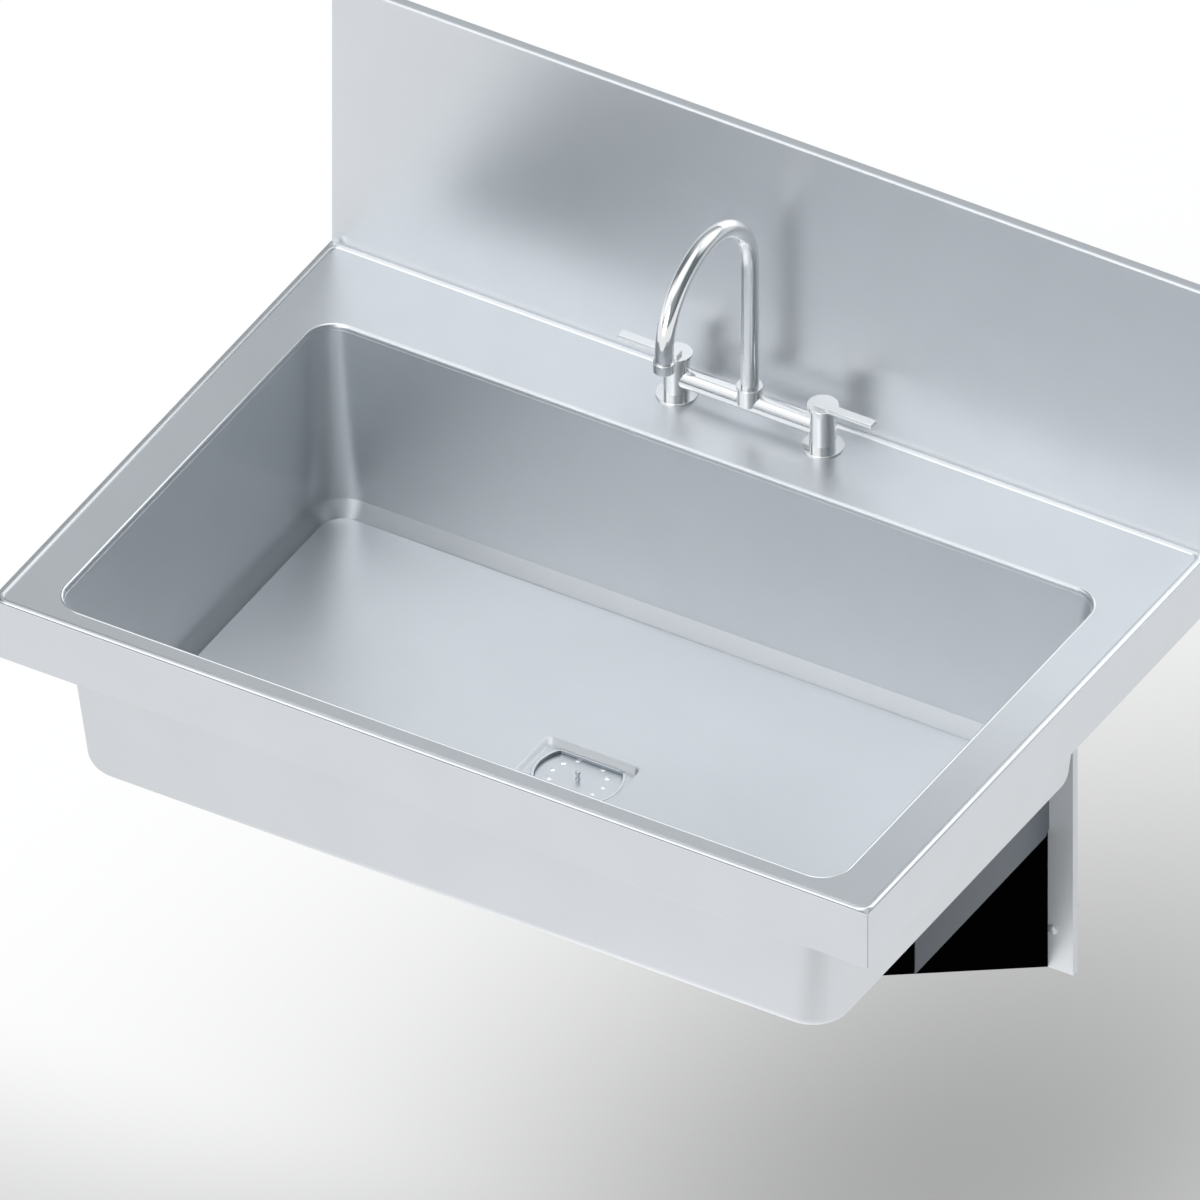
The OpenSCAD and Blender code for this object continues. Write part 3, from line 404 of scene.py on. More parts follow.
def add_floor():
    """Pale floor: the eye sees a painted shadow as a soft grey patch and a painted grey shade at the
    front, and metal sees two soft spots.
    """
    z = cad_box[0][2] - FLOOR_DROP
    half = FLOOR_SIZE / 2
    mesh = bpy.data.meshes.new("floor")
    mesh.from_pydata([(-half, -half, z), (half, -half, z), (half, half, z), (-half, half, z)], [],
                     [(0, 1, 2, 3)])
    floor = bpy.data.objects.new("floor", mesh)
    bpy.context.scene.collection.objects.link(floor)
    material, n = new_material("floor")
    seen, glossy = n.rays()
    place = n.add("ShaderNodeNewGeometry").outputs["Position"]
    patch = n.add("ShaderNodeMapping", {"Vector": place, "Location": (*SHADE_CENTRE, z),
                                        "Scale": (*SHADE_REACH, 1.0)}, vector_type="TEXTURE")
    reach = n.add("ShaderNodeVectorMath", {0: patch.outputs[0]}, operation="LENGTH").outputs["Value"]
    shade = n.math("EXPONENT", n.math("MULTIPLY", n.math("MULTIPLY", reach, reach), -1.0))
    front = n.smooth(n.axis(place, "Y"), *FRONT_FADE, 0.0, FRONT_SHADE)
    pale = n.math("SUBTRACT", n.math("MULTIPLY_ADD", shade, -SHADE_DEPTH, FLOOR_TONE), front)
    mirrored = BELOW[:3]
    for x, y, spread, depth in (FLOOR_DIM_SPOT, FLOOR_BRIGHT_SPOT):
        spot = n.add("ShaderNodeVectorMath", {0: place, 1: (x, y, z)}, operation="DISTANCE")
        factor = n.smooth(spot.outputs["Value"], 0.0, 2 * spread, 1.0 - depth, 1.0)
        scaled = n.add("ShaderNodeVectorMath", {0: mirrored, "Scale": factor}, operation="SCALE")
        mirrored = scaled.outputs[0]
    matt = n.add("ShaderNodeBsdfDiffuse", {"Color": rgb(FLOOR_GREY, FLOOR_GREY, FLOOR_GREY)})
    glow = n.add("ShaderNodeEmission", {"Color": n.mix(glossy, pale, mirrored), "Strength": 1.0})
    share = n.math("MAXIMUM", n.math("MULTIPLY", seen, FLOOR_GLOW), glossy)
    n.add("ShaderNodeOutputMaterial", {"Surface": n.blend(share, matt, glow).outputs[0]})
    mesh.materials.append(material)


def grainy(n, fine, tint, roughness, spread, bump, more):
    """Ends a material in one shader whose roughness and relief follow the fine grain."""
    rough = n.math("MULTIPLY_ADD", fine, roughness * spread, roughness * (1 - spread / 2))
    relief = n.add("ShaderNodeBump", {"Height": fine, "Strength": bump, "Distance": GRAIN_HEIGHT})
    shader = n.add("ShaderNodeBsdfPrincipled", {"Base Color": tint, "Roughness": rough,
                                                "Normal": relief.outputs[0], **more})
    n.add("ShaderNodeOutputMaterial", {"Surface": shader.outputs[0]})


def metal(name, colour, roughness, grain, grain_stretch, bump, metallic=1.0, fade=None):
    """Metal with a fine grain and clouds; a fade, a painted shade, darkens it to a share at the first
    of two Ys.
    """
    material, n = new_material(name)
    place = n.add("ShaderNodeTexCoord").outputs["Object"]
    stretched = n.add("ShaderNodeMapping", {"Vector": place, "Scale": grain_stretch}).outputs[0]
    clouds = n.smooth(n.noise(place, CLOUD_SCALE), *CLOUD_RANGE)
    tint = n.mix(clouds, toned(colour, METAL_TONE_SHARE), rgb(*colour))
    if fade:
        low_y, high_y, share = fade
        tint = n.mix(n.smooth(n.axis(place, "Y"), low_y, high_y), toned(colour, share), tint)
    grainy(n, n.grain(stretched, grain), tint, roughness, METAL_ROUGHNESS_SHARE, bump,
           {"Metallic": metallic})
    return material


def plain(name, colour, roughness, specular, grain, bump, glow=0.0):
    """Paint, rubber, ceramic, or a pale finish with a painted glow, with a fine grain in its tone."""
    material, n = new_material(name)
    fine = n.grain(n.add("ShaderNodeTexCoord").outputs["Object"], grain)
    tint = n.mix(fine, toned(colour, PLAIN_TONE_SHARE), rgb(*colour))
    grainy(n, fine, tint, roughness, PLAIN_ROUGHNESS_SHARE, bump,
           {"Specular IOR Level": specular, "Emission Color": rgb(1, 1, 1),
            "Emission Strength": glow})
    return material


# A metal's colour, roughness, scale and stretch of the grain, bump, share of metal and fade, or a
# plain finish's colour, roughness, specular level, scale of the grain, bump and glow
LOOKS = {
    "stainless": (metal, (0.775, 0.797, 0.82), 0.36, 900.0, BRUSHED, 0.05),
    "stainless_dull": (metal, (0.40, 0.425, 0.45), 0.42, 900.0, BRUSHED, 0.08),
    "chrome": (metal, (0.93, 0.935, 0.94), 0.1, 500.0, EVEN, 0.01, 0.9),
    "drain_chrome": (metal, (0.78, 0.80, 0.82), 0.16, 500.0, EVEN, 0.02),
    "fasteners": (metal, (0.80, 0.81, 0.82), 0.45, 700.0, EVEN, 0.05, 0.6),
    # Painted highlight: a paler, smoother tone on the bead's crown and the opening's raised line
    "worn_edge": (metal, (0.93, 0.94, 0.95), 0.3, 900.0, BRUSHED, 0.05),
    # Painted shade: a darker tone by the bead's feet and at the apron's front corners
    "crease": (metal, (0.60, 0.63, 0.66), 0.36, 900.0, BRUSHED, 0.05),
    "brass": (metal, (0.70, 0.52, 0.24), 0.28, 700.0, EVEN, 0.05),
    # Painted shade on the cup's wall above the strainer's seat
    "cup_wall": (metal, (0.40, 0.44, 0.48), 0.3, 500.0, EVEN, 0.02),
    # Painted light: a pale finish that glows, on the cup's seat and floor under the strainer's holes
    "cup_floor": (plain, (0.85, 0.85, 0.85), 0.5, 0.4, 300.0, 0.02, 0.5),
    "galvanised": (metal, (0.86, 0.88, 0.90), 0.5, 160.0, EVEN, 0.05, 0.5),
    # Painted shade: the doubler's dark tone stands in for the shade under the tub, and it darkens
    # further towards the front
    "doubler": (metal, (0.20, 0.22, 0.245), 0.5, 900.0, EVEN, 0.08, 1.0, DOUBLER_PAINTED_SHADE),
    "coated_black": (plain, (0.0012, 0.0012, 0.0012), 0.8, 0.0, 1200.0, 0.1),
    "rubber": (plain, (0.02, 0.02, 0.02), 0.7, 0.3, 700.0, 0.2),
    "ceramic": (plain, (0.86, 0.86, 0.83), 0.3, 0.5, 700.0, 0.05),
    "aerator_mesh": (plain, (0.30, 0.32, 0.34), 0.4, 0.5, 700.0, 0.05),
}
MATERIALS = {name: make(name, *look) for name, (make, *look) in LOOKS.items()}
SLOT_OF = {part["node"]: part["material_slot"] for part in frame["record"]["subparts"]}
# The nodes whose finish in the photograph isn't their slot's own
FINISH_OF = {side + kind: finish for side in ("left", "right")
             for kind, finish in (("_wall_channel", "galvanised"), ("_gusset_doubler", "doubler"))}
FINISH_OF["strainer_knob"] = "stainless"


# Outlines
def rounded(path, radii, steps=BEND_STEPS):
    """The open path of (u, v) points with its inner corners turned into arcs."""
    points = [Vector(path[0])]
    for before, corner, after, radius in zip(path, path[1:], path[2:], radii):
        corner = Vector(corner)
        if radius <= 0:
            points.append(corner)
            continue
        a = (Vector(before) - corner).normalized()
        b = (Vector(after) - corner).normalized()
        half = a.angle(b) / 2
        centre = corner + (a + b).normalized() * radius / math.sin(half)
        arm = corner + a * radius / math.tan(half) - centre
        other = corner + b * radius / math.tan(half) - centre
        turn = math.copysign(math.pi - 2 * half, arm.x * other.y - arm.y * other.x)
        for i in range(steps + 1):
            c, s = math.cos(turn * i / steps), math.sin(turn * i / steps)
            points.append(centre + Vector((c * arm.x - s * arm.y, s * arm.x + c * arm.y)))
    points.append(Vector(path[-1]))
    return points


def disc_profile(bore, radius, low, high, low_edge, high_edge):
    """A closed ring section, or a solid one where the bore is nothing."""
    return rounded([(bore, low), (radius, low), (radius, high), (bore, high)],
                   [low_edge, high_edge])


def rect_ring(half_x, front, rear, radius, z, steps=CORNER_STEPS, straight=0, rear_radius=None):
    """A level rectangle with round corners, from the rear right corner to the front right one."""
    back = radius if rear_radius is None else rear_radius
    corners = [(half_x - back, rear - back, back), (back - half_x, rear - back, back),
               (radius - half_x, front + radius, radius), (half_x - radius, front + radius, radius)]
    points = []
    for quarter, (x, y, r) in enumerate(corners):
        for i in range(steps + 1):
            angle = (quarter + i / steps) * math.pi / 2
            points.append(Vector((x + r * math.cos(angle), y + r * math.sin(angle), z)))
        x2, y2, r2 = corners[(quarter + 1) % 4]
        angle = (quarter + 1) * math.pi / 2
        start, end = points[-1], Vector((x2 + r2 * math.cos(angle), y2 + r2 * math.sin(angle), z))
        points += [start.lerp(end, (i + 1) / (straight + 1)) for i in range(straight)]
    return points


def flat_ring(centre_y, radius, flat, z, steps=CUP_STEPS):
    """A level circle cut off by two flats across Y, or nearly whole where they lie outside it."""
    flat = min(flat, radius * NEARLY_ONE)
    edge = math.asin(flat / radius)
    reach = radius * math.cos(edge)
    points = []
    for side in (1, -1):
        for i in range(steps):
            angle = edge * (2 * i / steps - 1) + (0 if side > 0 else math.pi)
            points.append(Vector((radius * math.cos(angle), centre_y + radius * math.sin(angle), z)))
        for i in range(steps):
            x = reach * (1 - 2 * i / steps)
            points.append(Vector((side * x, centre_y + side * flat, z)))
    return points


def around(centre, radius, height, angle, along="Z"):
    """The point at an angle round an axis along X, Y or Z through the centre."""
    c, s = radius * math.cos(angle), radius * math.sin(angle)
    return centre + Vector({"X": (height, c, s), "Y": (s, height, c), "Z": (c, s, height)}[along])


def circle(centre, radius, height, steps, along):
    """A ring of points round an axis along X, Y or Z through the centre."""
    return [around(centre, radius, height, TURN * i / steps, along) for i in range(steps)]


# The nodes that have a piece of their own so far
REBUILT = set()


class Build:
    """Rings of points skinned into one closed mesh."""

    def __init__(self):
        self.bm = bmesh.new()

    def ring(self, points):
        return [self.bm.verts.new(point) for point in points]

    def face(self, verts):
        if len(set(verts)) > 2:
            self.bm.faces.new(verts)

    def loft(self, rings, closed=True):
        for a, b in zip(rings, rings[1:]):
            for i in range(len(a) if closed else len(a) - 1):
                j = (i + 1) % len(a)
                self.face((a[i], a[j], b[j], b[i]))

    def skin(self, outlines, loop=False, caps=False):
        """Skins a list of point rings, closed round on itself or capped at both ends."""
        rings = [self.ring(points) for points in outlines]
        self.loft(rings + rings[:1] if loop else rings)
        if caps:
            self.face(rings[0])
            self.face(rings[-1])

    def close_strip(self, rings):
        """Closes a strip lofted through open rings: at its two ends and along its open side."""
        self.face([ring[0] for ring in rings])
        self.face([ring[-1] for ring in rings])
        self.face([rings[0][0], rings[0][-1], rings[-1][-1], rings[-1][0]])

    def lathe(self, centre, profile, loop=False, steps=LATHE_STEPS, along="Z"):
        """Turns (radius, height) points round an axis along X, Y or Z through the centre."""
        self.skin([circle(centre, radius, height, steps, along) for radius, height in profile],
                  loop=loop)

    def thread(self, centre, radius, low, high, pitch, bore=0.0, steps=THREAD_STEPS, along="Z"):
        """A screw thread from low to high: a helical ridge on a rod or a pipe."""
        depth = pitch * THREAD_DEPTH_SHARE
        rows = max(2, round((high - low) / pitch * THREAD_ROWS))
        outlines = []
        for row in range(rows + 1):
            height = low + (high - low) * row / rows
            fade = min(1.0, (height - low) / pitch, (high - height) / pitch)
            points = []
            for i in range(steps):
                phase = ((height - low) / pitch - i / steps) % 1.0
                r = radius - depth * (1 - fade) - depth * fade * abs(2 * phase - 1)
                points.append(around(centre, r, height, TURN * i / steps, along))
            outlines.append(points)
        outlines += [circle(centre, bore, height, steps, along) for height in (high, low)]
        self.skin(outlines, loop=True)

    def finish(self, node):
        """Makes the piece that stands for a node, and rides on its body with its finish."""
        bm = self.bm
        bmesh.ops.remove_doubles(bm, verts=bm.verts, dist=TINY)
        bmesh.ops.dissolve_degenerate(bm, edges=bm.edges, dist=TINY)
        bmesh.ops.recalc_face_normals(bm, faces=bm.faces)
        mesh = bpy.data.meshes.new(node + "_form")
        bm.to_mesh(mesh)
        bm.free()
        mesh.polygons.foreach_set("use_smooth", [True] * len(mesh.polygons))
        mesh.set_sharp_from_angle(angle=SHARP_ANGLE)
        mesh.materials.append(MATERIALS[FINISH_OF.get(node, SLOT_OF[node])])
        piece = bpy.data.objects.new(node + "_form", mesh)
        bpy.context.scene.collection.objects.link(piece)
        weigh = piece.modifiers.new("normals", "WEIGHTED_NORMAL")
        weigh.keep_sharp = True
        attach(piece, frame["nodes"][node]["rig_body"])
        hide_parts(node)
        REBUILT.add(node)
        return piece


# Rim
def opening_section():
    """(offset, height) points round the opening's edge: underside, roll and fine raised line."""
    reach = OPEN_ROLL * 2
    foot_z = DECK_Z - OPEN_ROLL
    points = rounded([(reach, DECK_UNDER), (SHEET, DECK_UNDER), (SHEET, foot_z)],
                     [OPEN_ROLL - 1.5 * SHEET])
    for t in range(ROLL_STEPS + 1):
        angle = math.pi * t / (2 * ROLL_STEPS)
        points.append((OPEN_ROLL_RUN * (1 - math.cos(angle)), foot_z + OPEN_ROLL * math.sin(angle)))
    for t in range(1, LINE_STEPS + 1):
        points.append((OPEN_ROLL_RUN + OPEN_LINE_W * t / LINE_STEPS,
                       DECK_Z + OPEN_LINE * math.sin(math.pi * t / LINE_STEPS)))
    points.append((reach, DECK_Z))
    return points


def bead_section():
    """(offset, height) points across the raised bead: one arc between two small foot fillets."""
    crown_r = (BEAD_HALF ** 2 / BEAD_HEIGHT + BEAD_HEIGHT) / 2 - BEAD_FOOT_R
    lean = math.asin(BEAD_HALF / (crown_r + BEAD_FOOT_R))
    right = []
    for t in range(BEND_STEPS + 1):
        angle = lean * t / BEND_STEPS
        right.append((crown_r * math.sin(angle), crown_r * (math.cos(angle) - 1)))
    for t in range(1, FOOT_STEPS + 1):
        angle = lean * (FOOT_STEPS - t) / FOOT_STEPS
        right.append((BEAD_HALF - BEAD_FOOT_R * math.sin(angle),
                      DECK_Z + BEAD_FOOT_R * (1 - math.cos(angle))))
    return [(-offset, z) for offset, z in reversed(right[1:])] + right


def mark_rim(deck):
    """Painted highlight on the bead and the opening's line, painted shade by the bead and at the
    corners.
    """
    deck.data.materials.append(MATERIALS["crease"])
    deck.data.materials.append(MATERIALS["worn_edge"])
    for polygon in deck.data.polygons:
        x, y, z = polygon.center
        side, front = RIM_HALF - abs(x), y - RIM_FRONT
        out = RIDGE_INSET - min(side, front)
        on_top = z > DECK_Z - SHEET / 4 and polygon.normal.z > FACING_UP
        outer_foot = SHADE_LINE_FROM < out < RIDGE_INSET - APRON_BEND_R
        inner_foot = side < front and -BEAD_HALF - BEAD_FOOT_R < out < BEAD_FOOT_R - BEAD_HALF
        on_corner = max(side, front) < APRON_CORNER_R and abs(polygon.normal.z) < FACING_UP
        crown = HIGHLIGHT_FROM < out <= SHADE_LINE_FROM
        # Further in than the side and front beads, only that line and the rear bead rise
        raised_line = out < -OPEN_ROLL and z > DECK_Z + OPEN_LINE / 6
        # Painted shade by the bead's feet and at the apron's front corners; painted highlight on the
        # bead's crown, the rear bead and the opening's raised line
        if on_top and (outer_foot or inner_foot) or on_corner:
            polygon.material_index = 1
        elif on_top and (crown or raised_line):
            polygon.material_index = 2


def build_rim_deck():
    """Deck with its opening and bead, and the hemmed apron round its left, front and right."""
    piece = Build()

    def round_opening(out, z):
        return rect_ring(OPEN_X + out, OPEN_FRONT - out, OPEN_REAR + out, OPEN_R + out, z)

    def round_ridge(out, z):
        points = rect_ring(RIDGE_X + out, RIDGE_FRONT - out, RIDGE_REAR + out,
                           BEAD_CORNER_R + out, z)
        for point in points:
            point.y = min(point.y, SPLASH_FACE)
        return points

    def outline(inset, z):
        return rect_ring(RIM_HALF - inset, RIM_FRONT + inset, SPLASH_FACE,
                         max(APRON_CORNER_R - inset, 0), z, rear_radius=0)

    rings = [outline(SHEET, DECK_UNDER)]
    rings += [round_opening(out, z) for out, z in opening_section()]
    rings += [round_ridge(out, z) for out, z in bead_section()]
    rings += [outline(APRON_BEND_R, DECK_Z)]
    piece.skin(rings)

    hem_top = APRON_FOOT + SHEET
    section = rounded([(APRON_BEND_R * 2, DECK_Z), (0, DECK_Z), (0, APRON_FOOT), (HEM, APRON_FOOT),
                       (HEM, hem_top), (SHEET, hem_top), (SHEET, DECK_UNDER)],
                      [APRON_BEND_R, HEM_BEND_R, SHEET / 6, SHEET / 6, SHEET / 4])[1:]
    # The apron goes from the last point of the rear left corner to the first of the rear right
    rear_left = 2 * (CORNER_STEPS + 1) - 1
    apron = []
    for inset, z in section:
        points = outline(inset, z)
        apron.append(piece.ring(points[rear_left:] + points[:1]))
    piece.loft(apron, closed=False)
    piece.close_strip(apron)
    mark_rim(piece.finish("rim_deck"))


# Tub
def place_key(point):
    """A point's place to a tenth of a millimetre, by which it is found again in the mesh."""
    return tuple(round(c / MM, 1) for c in point)


def shade_tub(tub, fillet, dish, lean):
    """Shades the fillet as one pale band that ends in a crisp line, and the recess near the floor."""
    def leaning(inward, tilt):
        return Vector((*(inward * math.cos(tilt)), math.sin(tilt)))

    # For each place on the fillet: its step, its shading in the band, and the wall's own
    wall = {}
    for i, top in enumerate(fillet[0]):
        inward = (fillet[-1][i] - top).to_2d().normalized()
        for step, ring in enumerate(fillet):
            tilt = lean + (FILLET_TILT - lean) * step / FILLET_STEPS
            if inward.y < 0:
                rear_tilt = FOOT_TILT if step == FILLET_STEPS else REAR_TILT
                tilt += (rear_tilt - tilt) * inward.y ** 2
            wall[place_key(ring[i])] = (step, leaning(inward, tilt), leaning(inward, lean))
    mesh = tub.data
    up = Vector((0, 0, 1))
    soft = {place_key(point) for ring in dish for point in ring}
    recess = {vertex.index: up.lerp(vertex.normal, RECESS_SHADE_SHARE).normalized()
              for vertex in mesh.vertices if place_key(vertex.co) in soft}
    # Faces of the fillet take the band's shading, and the wall and floor next to it keep their own
    normals = [normal.vector.copy() for normal in mesh.corner_normals]
    for polygon in mesh.polygons:
        found = [wall.get(place_key(mesh.vertices[v].co)) for v in polygon.vertices]
        for loop, v, hit in zip(polygon.loop_indices, polygon.vertices, found):
            if hit and all(found):
                normals[loop] = hit[1]
            elif hit and hit[0] == 0:
                normals[loop] = hit[2]
            elif hit and hit[0] == FILLET_STEPS:
                normals[loop] = up
            elif v in recess and polygon.normal.z > 0:
                normals[loop] = recess[v]
    mesh.normals_split_custom_set(normals)
    tub.modifiers.clear()


def build_tub():
    """Drafted walls, a fillet round the floor, and the drain recess with the hole for the cup."""
    piece = Build()
    fillet_x = TUB_LEAN + TUB_FILLET
    fillet_z = TUB_FLOOR_Z + TUB_FILLET
    lean = math.atan(TUB_LEAN / (DECK_UNDER - fillet_z))

    def wall_ring(out, radius, z):
        return rect_ring(OPEN_X + out, OPEN_FRONT - out, OPEN_REAR + out, radius, z,
                         straight=STRAIGHT_STEPS)

    def wall(thick):
        """Rings from the top edge down to the flat of the floor, thick outside the inner face."""
        r = TUB_FILLET + thick
        foot_out = -fillet_x + r * math.cos(lean)
        foot_z = fillet_z - r * math.sin(lean)
        foot_r = TUB_FLOOR_R - TUB_FILLET + r * math.cos(lean)
        top_z = DECK_Z - OPEN_ROLL
        top_share = (DECK_UNDER - top_z) / (DECK_UNDER - foot_z)
        rings = []
        for t in (top_share, *WALL_SHARES):
            rings.append(wall_ring(thick + t * (foot_out - thick),
                                   OPEN_R + thick + t * (foot_r - OPEN_R - thick),
                                   DECK_UNDER + t * (foot_z - DECK_UNDER)))
        for step in range(FILLET_STEPS + 1):
            angle = lean + (math.pi / 2 - lean) * step / FILLET_STEPS
            rings.append(wall_ring(-fillet_x + r * math.cos(angle),
                                   TUB_FLOOR_R - TUB_FILLET + r * math.cos(angle),
                                   fillet_z - r * math.sin(angle)))
        return rings

    def recess(thick):
        """Rings down the recess's rounded edge and slope to its own floor."""
        top, low = TUB_FLOOR_Z - thick, TUB_FLOOR_Z - thick - RECESS_DEPTH
        edge = RECESS_EDGE_R
        section = rounded([(-edge * 2 - thick, top), (-thick, top), (RECESS_SLOPE - thick, low),
                           (RECESS_SLOPE * 3, low)],
                          [max(edge - thick, SHEET / 4), edge + thick], FINE_BEND_STEPS + 1)[1:-1]
        return [rect_ring(RECESS_HALF_X - inset, cup_y - RECESS_HALF_Y + inset,
                          cup_y + RECESS_HALF_Y - inset, max(RECESS_R - inset, 0), z,
                          straight=STRAIGHT_STEPS) for inset, z in section]

    def hole(ring, z):
        """The cup's outline as a ring, each point in line with one of the given ring."""
        points = []
        for point in ring:
            angle = math.atan2(point.y - cup_y, point.x)
            to_flat = (CUP_FLAT + CUP_WALL) / max(abs(math.sin(angle)), TINY)
            reach = min(CUP_R + CUP_WALL, to_flat)
            points.append(Vector((reach * math.cos(angle), cup_y + reach * math.sin(angle), z)))
        return points

    inner, outer = wall(0), wall(SHEET)
    dish, under = recess(0), recess(SHEET)
    low = TUB_FLOOR_Z - RECESS_DEPTH
    rings = inner + dish + [hole(dish[-1], low), hole(under[-1], low - SHEET)]
    rings += list(reversed(under)) + list(reversed(outer))
    piece.skin(rings, loop=True)
    shade_tub(piece.finish("tub"), inner[-FILLET_STEPS - 1:], dish, lean)


# Backsplash
def build_backsplash():
    """One bent sheet with round upper corners and returns along its top and sides."""
    piece = Build()
    foot, top = splash_low.z, splash_high.z

    def outline(inset, y):
        r = max(SPLASH_CORNER_R - inset, 0)
        half, head = RIM_HALF - inset, top - inset
        points = [Vector((-half, y, foot))]
        for side, start in ((-1, math.pi), (1, math.pi / 2)):
            for i in range(BEND_STEPS + 1):
                angle = start - math.pi / 2 * i / BEND_STEPS
                points.append(Vector((side * (half - r) + r * math.cos(angle), y,
                                      head - r + r * math.sin(angle))))
        return points + [Vector((half, y, foot))]

    back = SPLASH_FACE + SHEET
    section = rounded([(SPLASH_FRAME, SPLASH_FACE), (0, SPLASH_FACE), (0, 0), (SHEET, 0),
                       (SHEET, back), (SPLASH_FRAME, back)],
                      [SPLASH_BEND_R, SHEET / 6, SHEET / 6, SPLASH_BEND_R - SHEET])
    rings = [piece.ring(outline(inset, y)) for inset, y in section]
    piece.loft(rings, closed=False)
    piece.face(rings[0])
    piece.face(rings[-1])
    piece.close_strip(rings)
    piece.finish("backsplash")


# Drain
def mark_cup(body, centre, floor_z, seat_z, lip_z):
    """Painted shade on the wall above the seat, and a pale finish with a painted glow on the seat,
    below it and on the floor.
    """
    slack = MM / 4
    body.data.materials.append(MATERIALS["cup_wall"])
    body.data.materials.append(MATERIALS["cup_floor"])
    for polygon in body.data.polygons:
        arm = polygon.center - centre
        across = arm.to_2d()
        inside = across.dot(polygon.normal.to_2d()) < -TINY and across.length > SPUD_R
        if inside and seat_z < arm.z < lip_z - CUP_WALL / 2:
            polygon.material_index = 1
        elif floor_z - 2 * slack < arm.z < seat_z + slack and (
                inside or polygon.normal.z > FACING_UP):
            polygon.material_index = 2


def build_drain_body():
    """Flatted cup with a rounded lip, a seat for the plate and a threaded spud."""
    piece = Build()
    lip_z, foot_z = drain_high.z, drain_low.z
    seat_z = lip_z - PLATE_DROP
    floor_z = seat_z - CUP_DEPTH
    under_z = floor_z - CUP_WALL
    outer = CUP_R + CUP_WALL
    lip = outer + CUP_LIP
    bore = SPUD_R - SPUD_WALL
    section = rounded([(CUP_R - CUP_SEAT, floor_z), (CUP_R - CUP_SEAT, seat_z), (CUP_R, seat_z),
                       (CUP_R, lip_z), (lip, lip_z), (lip, lip_z - CUP_WALL / 2),
                       (outer, lip_z - CUP_WALL / 2), (outer, under_z),
                       (SPUD_R * SPUD_CLEAR_SHARE, under_z)],
                      [0, CUP_WALL / 6, CUP_WALL / 2, CUP_WALL / 3, 0, 0, CUP_WALL],
                      FINE_BEND_STEPS)
    rings = [flat_ring(cup_y, radius, radius - CUP_R + CUP_FLAT, z) for radius, z in section[:-1]]
    rings += [flat_ring(cup_y, SPUD_R, SPUD_R, z) for z in (under_z, foot_z)]
    rings += [flat_ring(cup_y, bore, bore, z) for z in (foot_z, floor_z)]
    piece.skin(rings, loop=True)
    centre = Vector((0, cup_y, 0))
    piece.thread(centre, SPUD_R + SPUD_PITCH / 4, foot_z + SPUD_PITCH / 2, under_z - SPUD_PITCH,
                 SPUD_PITCH, bore + SPUD_WALL / 2, SPUD_STEPS)
    mark_cup(piece.finish("drain_body"), centre, floor_z, seat_z, lip_z)


def middle(node):
    """A node's centre in X and Y, at no height, and the low and high corners of its box."""
    low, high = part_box(node)
    return Vector(((low.x + high.x) / 2, (low.y + high.y) / 2, 0)), low, high


def build_strainer_knob():
    """Pin on a small flange, with a narrower neck and a round head to lift it by."""
    centre, low, high = middle("strainer_knob")
    foot_r = (high.x - low.x) / 2
    neck_r = KNOB_HEAD_R * 2 / 3
    flange_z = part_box("strainer_plate")[1].z + KNOB_FLANGE
    head_z = high.z - KNOB_HEAD_H
    profile = rounded([(0, low.z), (foot_r, low.z), (foot_r, flange_z), (neck_r, flange_z),
                       (neck_r, head_z), (KNOB_HEAD_R, head_z), (KNOB_HEAD_R, high.z), (0, high.z)],
                      [KNOB_FLANGE / 3, KNOB_FLANGE / 2, KNOB_FLANGE / 2, 0, KNOB_HEAD_H / 4,
                       KNOB_HEAD_H / 2.2])
    piece = Build()
    piece.lathe(centre, profile, steps=SMALL_LATHE_STEPS)
    piece.finish("strainer_knob")


# Tap
def build_turned(node, bore, edge):
    """A round upright piece as wide and as high as its node, with its upper edge rounded."""
    centre, low, high = middle(node)
    piece = Build()
    piece.lathe(centre, disc_profile(bore, (high.x - low.x) / 2, low.z, high.z, 0, edge),
                loop=bore > 0)
    piece.finish(node)


def build_valve(side):
    """Escutcheon, column and handle of one valve: the handle is a round cap with a flat bar."""
    centre, low, high = middle(side + "_valve_column")
    build_turned(side + "_escutcheon", (high.x - low.x) / 2, ESCUTCHEON_EDGE_R)
    build_turned(side + "_valve_column", 0, COLUMN_EDGE_R)

    low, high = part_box(side + "_lever_handle")
    piece = Build()
    piece.lathe(centre, disc_profile(0, CAP_R, low.z, low.z + CAP_T, CAP_EDGE_R, CAP_EDGE_R))
    bar_low = low.z + CAP_T * LEVER_START_SHARE
    tip, root = (high.x, centre.x - LEVER_ROOT) if side == "right" else (low.x, centre.x + LEVER_ROOT)
    bar_x, half_x = (tip + root) / 2, abs(tip - root) / 2
    front, rear = centre.y - LEVER_DEPTH, centre.y
    section = rounded([(half_x, bar_low), (0, bar_low), (0, high.z), (half_x, high.z)],
                      [LEVER_EDGE_R, LEVER_EDGE_R], FINE_BEND_STEPS)[1:-1]
    rings = []
    for inset, z in section:
        points = rect_ring(half_x - inset, front + inset, rear - inset,
                           max(LEVER_EDGE_R - inset, 0), z, steps=FINE_BEND_STEPS)
        rings.append([point + Vector((bar_x, 0, 0)) for point in points])
    piece.skin(rings, caps=True)
    piece.finish(side + "_lever_handle")


def build_bridge():
    """The cross tube between the valves, and the collar that holds the spout."""
    low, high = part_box("bridge_tube")
    radius = (high.z - low.z) / 2
    centre = Vector((0, (low.y + high.y) / 2, (low.z + high.z) / 2))
    piece = Build()
    piece.lathe(centre, disc_profile(radius - BRIDGE_WALL, radius, low.x, high.x, 0, 0),
                loop=True, along="X")
    piece.finish("bridge_tube")
    build_turned("spout_collar", SPOUT_R, COLLAR_EDGE_R)


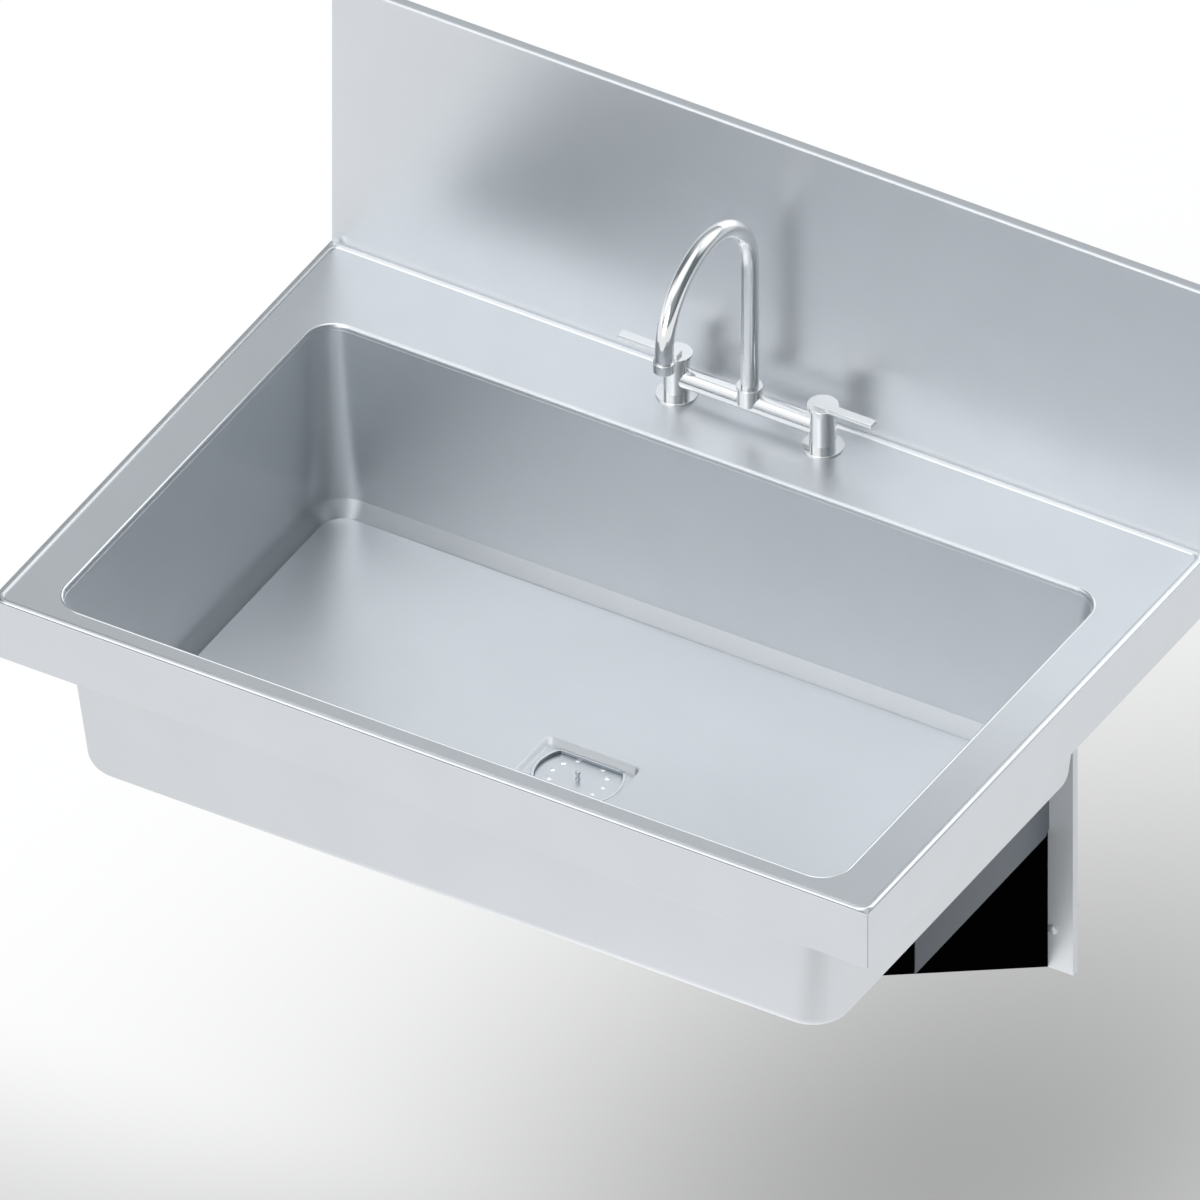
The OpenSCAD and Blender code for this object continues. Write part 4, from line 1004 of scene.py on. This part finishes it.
def build_spout():
    """The gooseneck, and the housing of the aerator at its end."""
    low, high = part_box("spout")
    tap_y = high.y - SPOUT_R
    arch_z = high.z - SPOUT_R - ARCH_R
    out_y = tap_y - 2 * ARCH_R
    end_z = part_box("aerator_housing")[0].z + SPOUT_END_LIFT
    # Stations along the centre line: place in Y and Z, and the way outwards from the arch
    stations = [(tap_y, z, 0.0) for z in (low.z, (low.z + arch_z) / 2)]
    for i in range(ARCH_STEPS + 1):
        angle = math.pi * i / ARCH_STEPS
        stations.append((tap_y - ARCH_R + ARCH_R * math.cos(angle),
                         arch_z + ARCH_R * math.sin(angle), angle))
    stations.append((out_y, end_z, math.pi))

    def ring(station, radius):
        y, z, angle = station
        points = []
        for i in range(TUBE_STEPS):
            turn = TURN * i / TUBE_STEPS
            lift = radius * math.cos(turn)
            points.append(Vector((radius * math.sin(turn), y + lift * math.cos(angle),
                                  z + lift * math.sin(angle))))
        return points

    piece = Build()
    rings = [ring(station, SPOUT_R) for station in stations]
    rings += [ring(station, SPOUT_R - SPOUT_WALL) for station in reversed(stations)]
    piece.skin(rings, loop=True)
    piece.finish("spout")

    centre, low, high = middle("aerator_housing")
    radius = (high.x - low.x) / 2
    profile = rounded([(SPOUT_R - SPOUT_WALL, low.z), (radius, low.z), (radius, high.z),
                       (SPOUT_R, high.z)], [AERATOR_EDGE_R, AERATOR_EDGE_R])
    piece = Build()
    piece.lathe(centre, profile, loop=True)
    piece.finish("aerator_housing")


def build_shank(side):
    """The threaded pipe under one valve."""
    centre, low, high = middle(side + "_shank")
    piece = Build()
    piece.thread(centre, (high.x - low.x) / 2, low.z, high.z, SHANK_PITCH, SHANK_BORE_R)
    piece.finish(side + "_shank")


# Wall bolts
def build_wall_bolts():
    """Four domed heads on the wall channels, with threaded studs in the wall."""
    low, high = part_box("wall_bolts")
    piece = Build()
    rim_y, top_y = channel_y - BOLT_HEAD_H * BOLT_RIM_SHARE, channel_y - BOLT_HEAD_H
    dome = rounded([(0, channel_y), (BOLT_HEAD_R, channel_y), (BOLT_HEAD_R, rim_y), (0, top_y)],
                   [0, BOLT_HEAD_H * BOLT_DOME_SHARE], FINE_BEND_STEPS + 1)
    core_r = BOLT_R * BOLT_CORE_SHARE
    core = [(0, channel_y), (core_r, channel_y), (core_r, 0), (0, 0)]
    for x in (low.x + BOLT_HEAD_R, high.x - BOLT_HEAD_R):
        for z in (low.z + BOLT_HEAD_R, high.z - BOLT_HEAD_R):
            centre = Vector((x, 0, z))
            piece.lathe(centre, dome, steps=SMALL_LATHE_STEPS, along="Y")
            piece.lathe(centre, core, steps=SHAFT_STEPS, along="Y")
            piece.thread(centre, BOLT_R, 0, high.y, BOLT_PITCH, steps=SHAFT_STEPS, along="Y")
    piece.finish("wall_bolts")


# Every other node
def soften(node):
    """A copy of a node's own shape with its edges broken, welded and smoothly shaded."""
    piece = Build()
    bm = piece.bm
    bm.from_mesh(frame["nodes"][node].data)
    bmesh.ops.remove_doubles(bm, verts=bm.verts, dist=TINY)
    bmesh.ops.dissolve_limit(bm, angle_limit=FLAT_ANGLE, verts=bm.verts, edges=bm.edges)
    edges = [edge for edge in bm.edges
             if len(edge.link_faces) == 2 and edge.calc_face_angle() > BEVEL_ANGLE]
    bmesh.ops.bevel(bm, geom=edges, offset=SOFT_EDGE_OF.get(node, SOFT_EDGE), segments=2,
                    profile=0.5, affect="EDGES", clamp_overlap=True)
    piece.finish(node)


def build_all():
    """Builds the pieces that show in their own right, and softens what is left."""
    build_rim_deck()
    build_tub()
    build_backsplash()
    build_drain_body()
    build_strainer_knob()
    for side in ("left", "right"):
        build_valve(side)
        build_shank(side)
    build_bridge()
    build_spout()
    build_wall_bolts()
    for node in SLOT_OF:
        if node not in REBUILT:
            soften(node)


add_camera()
add_world()
add_floor()
build_all()

scene = bpy.context.scene
scene.view_settings.view_transform = "Standard"
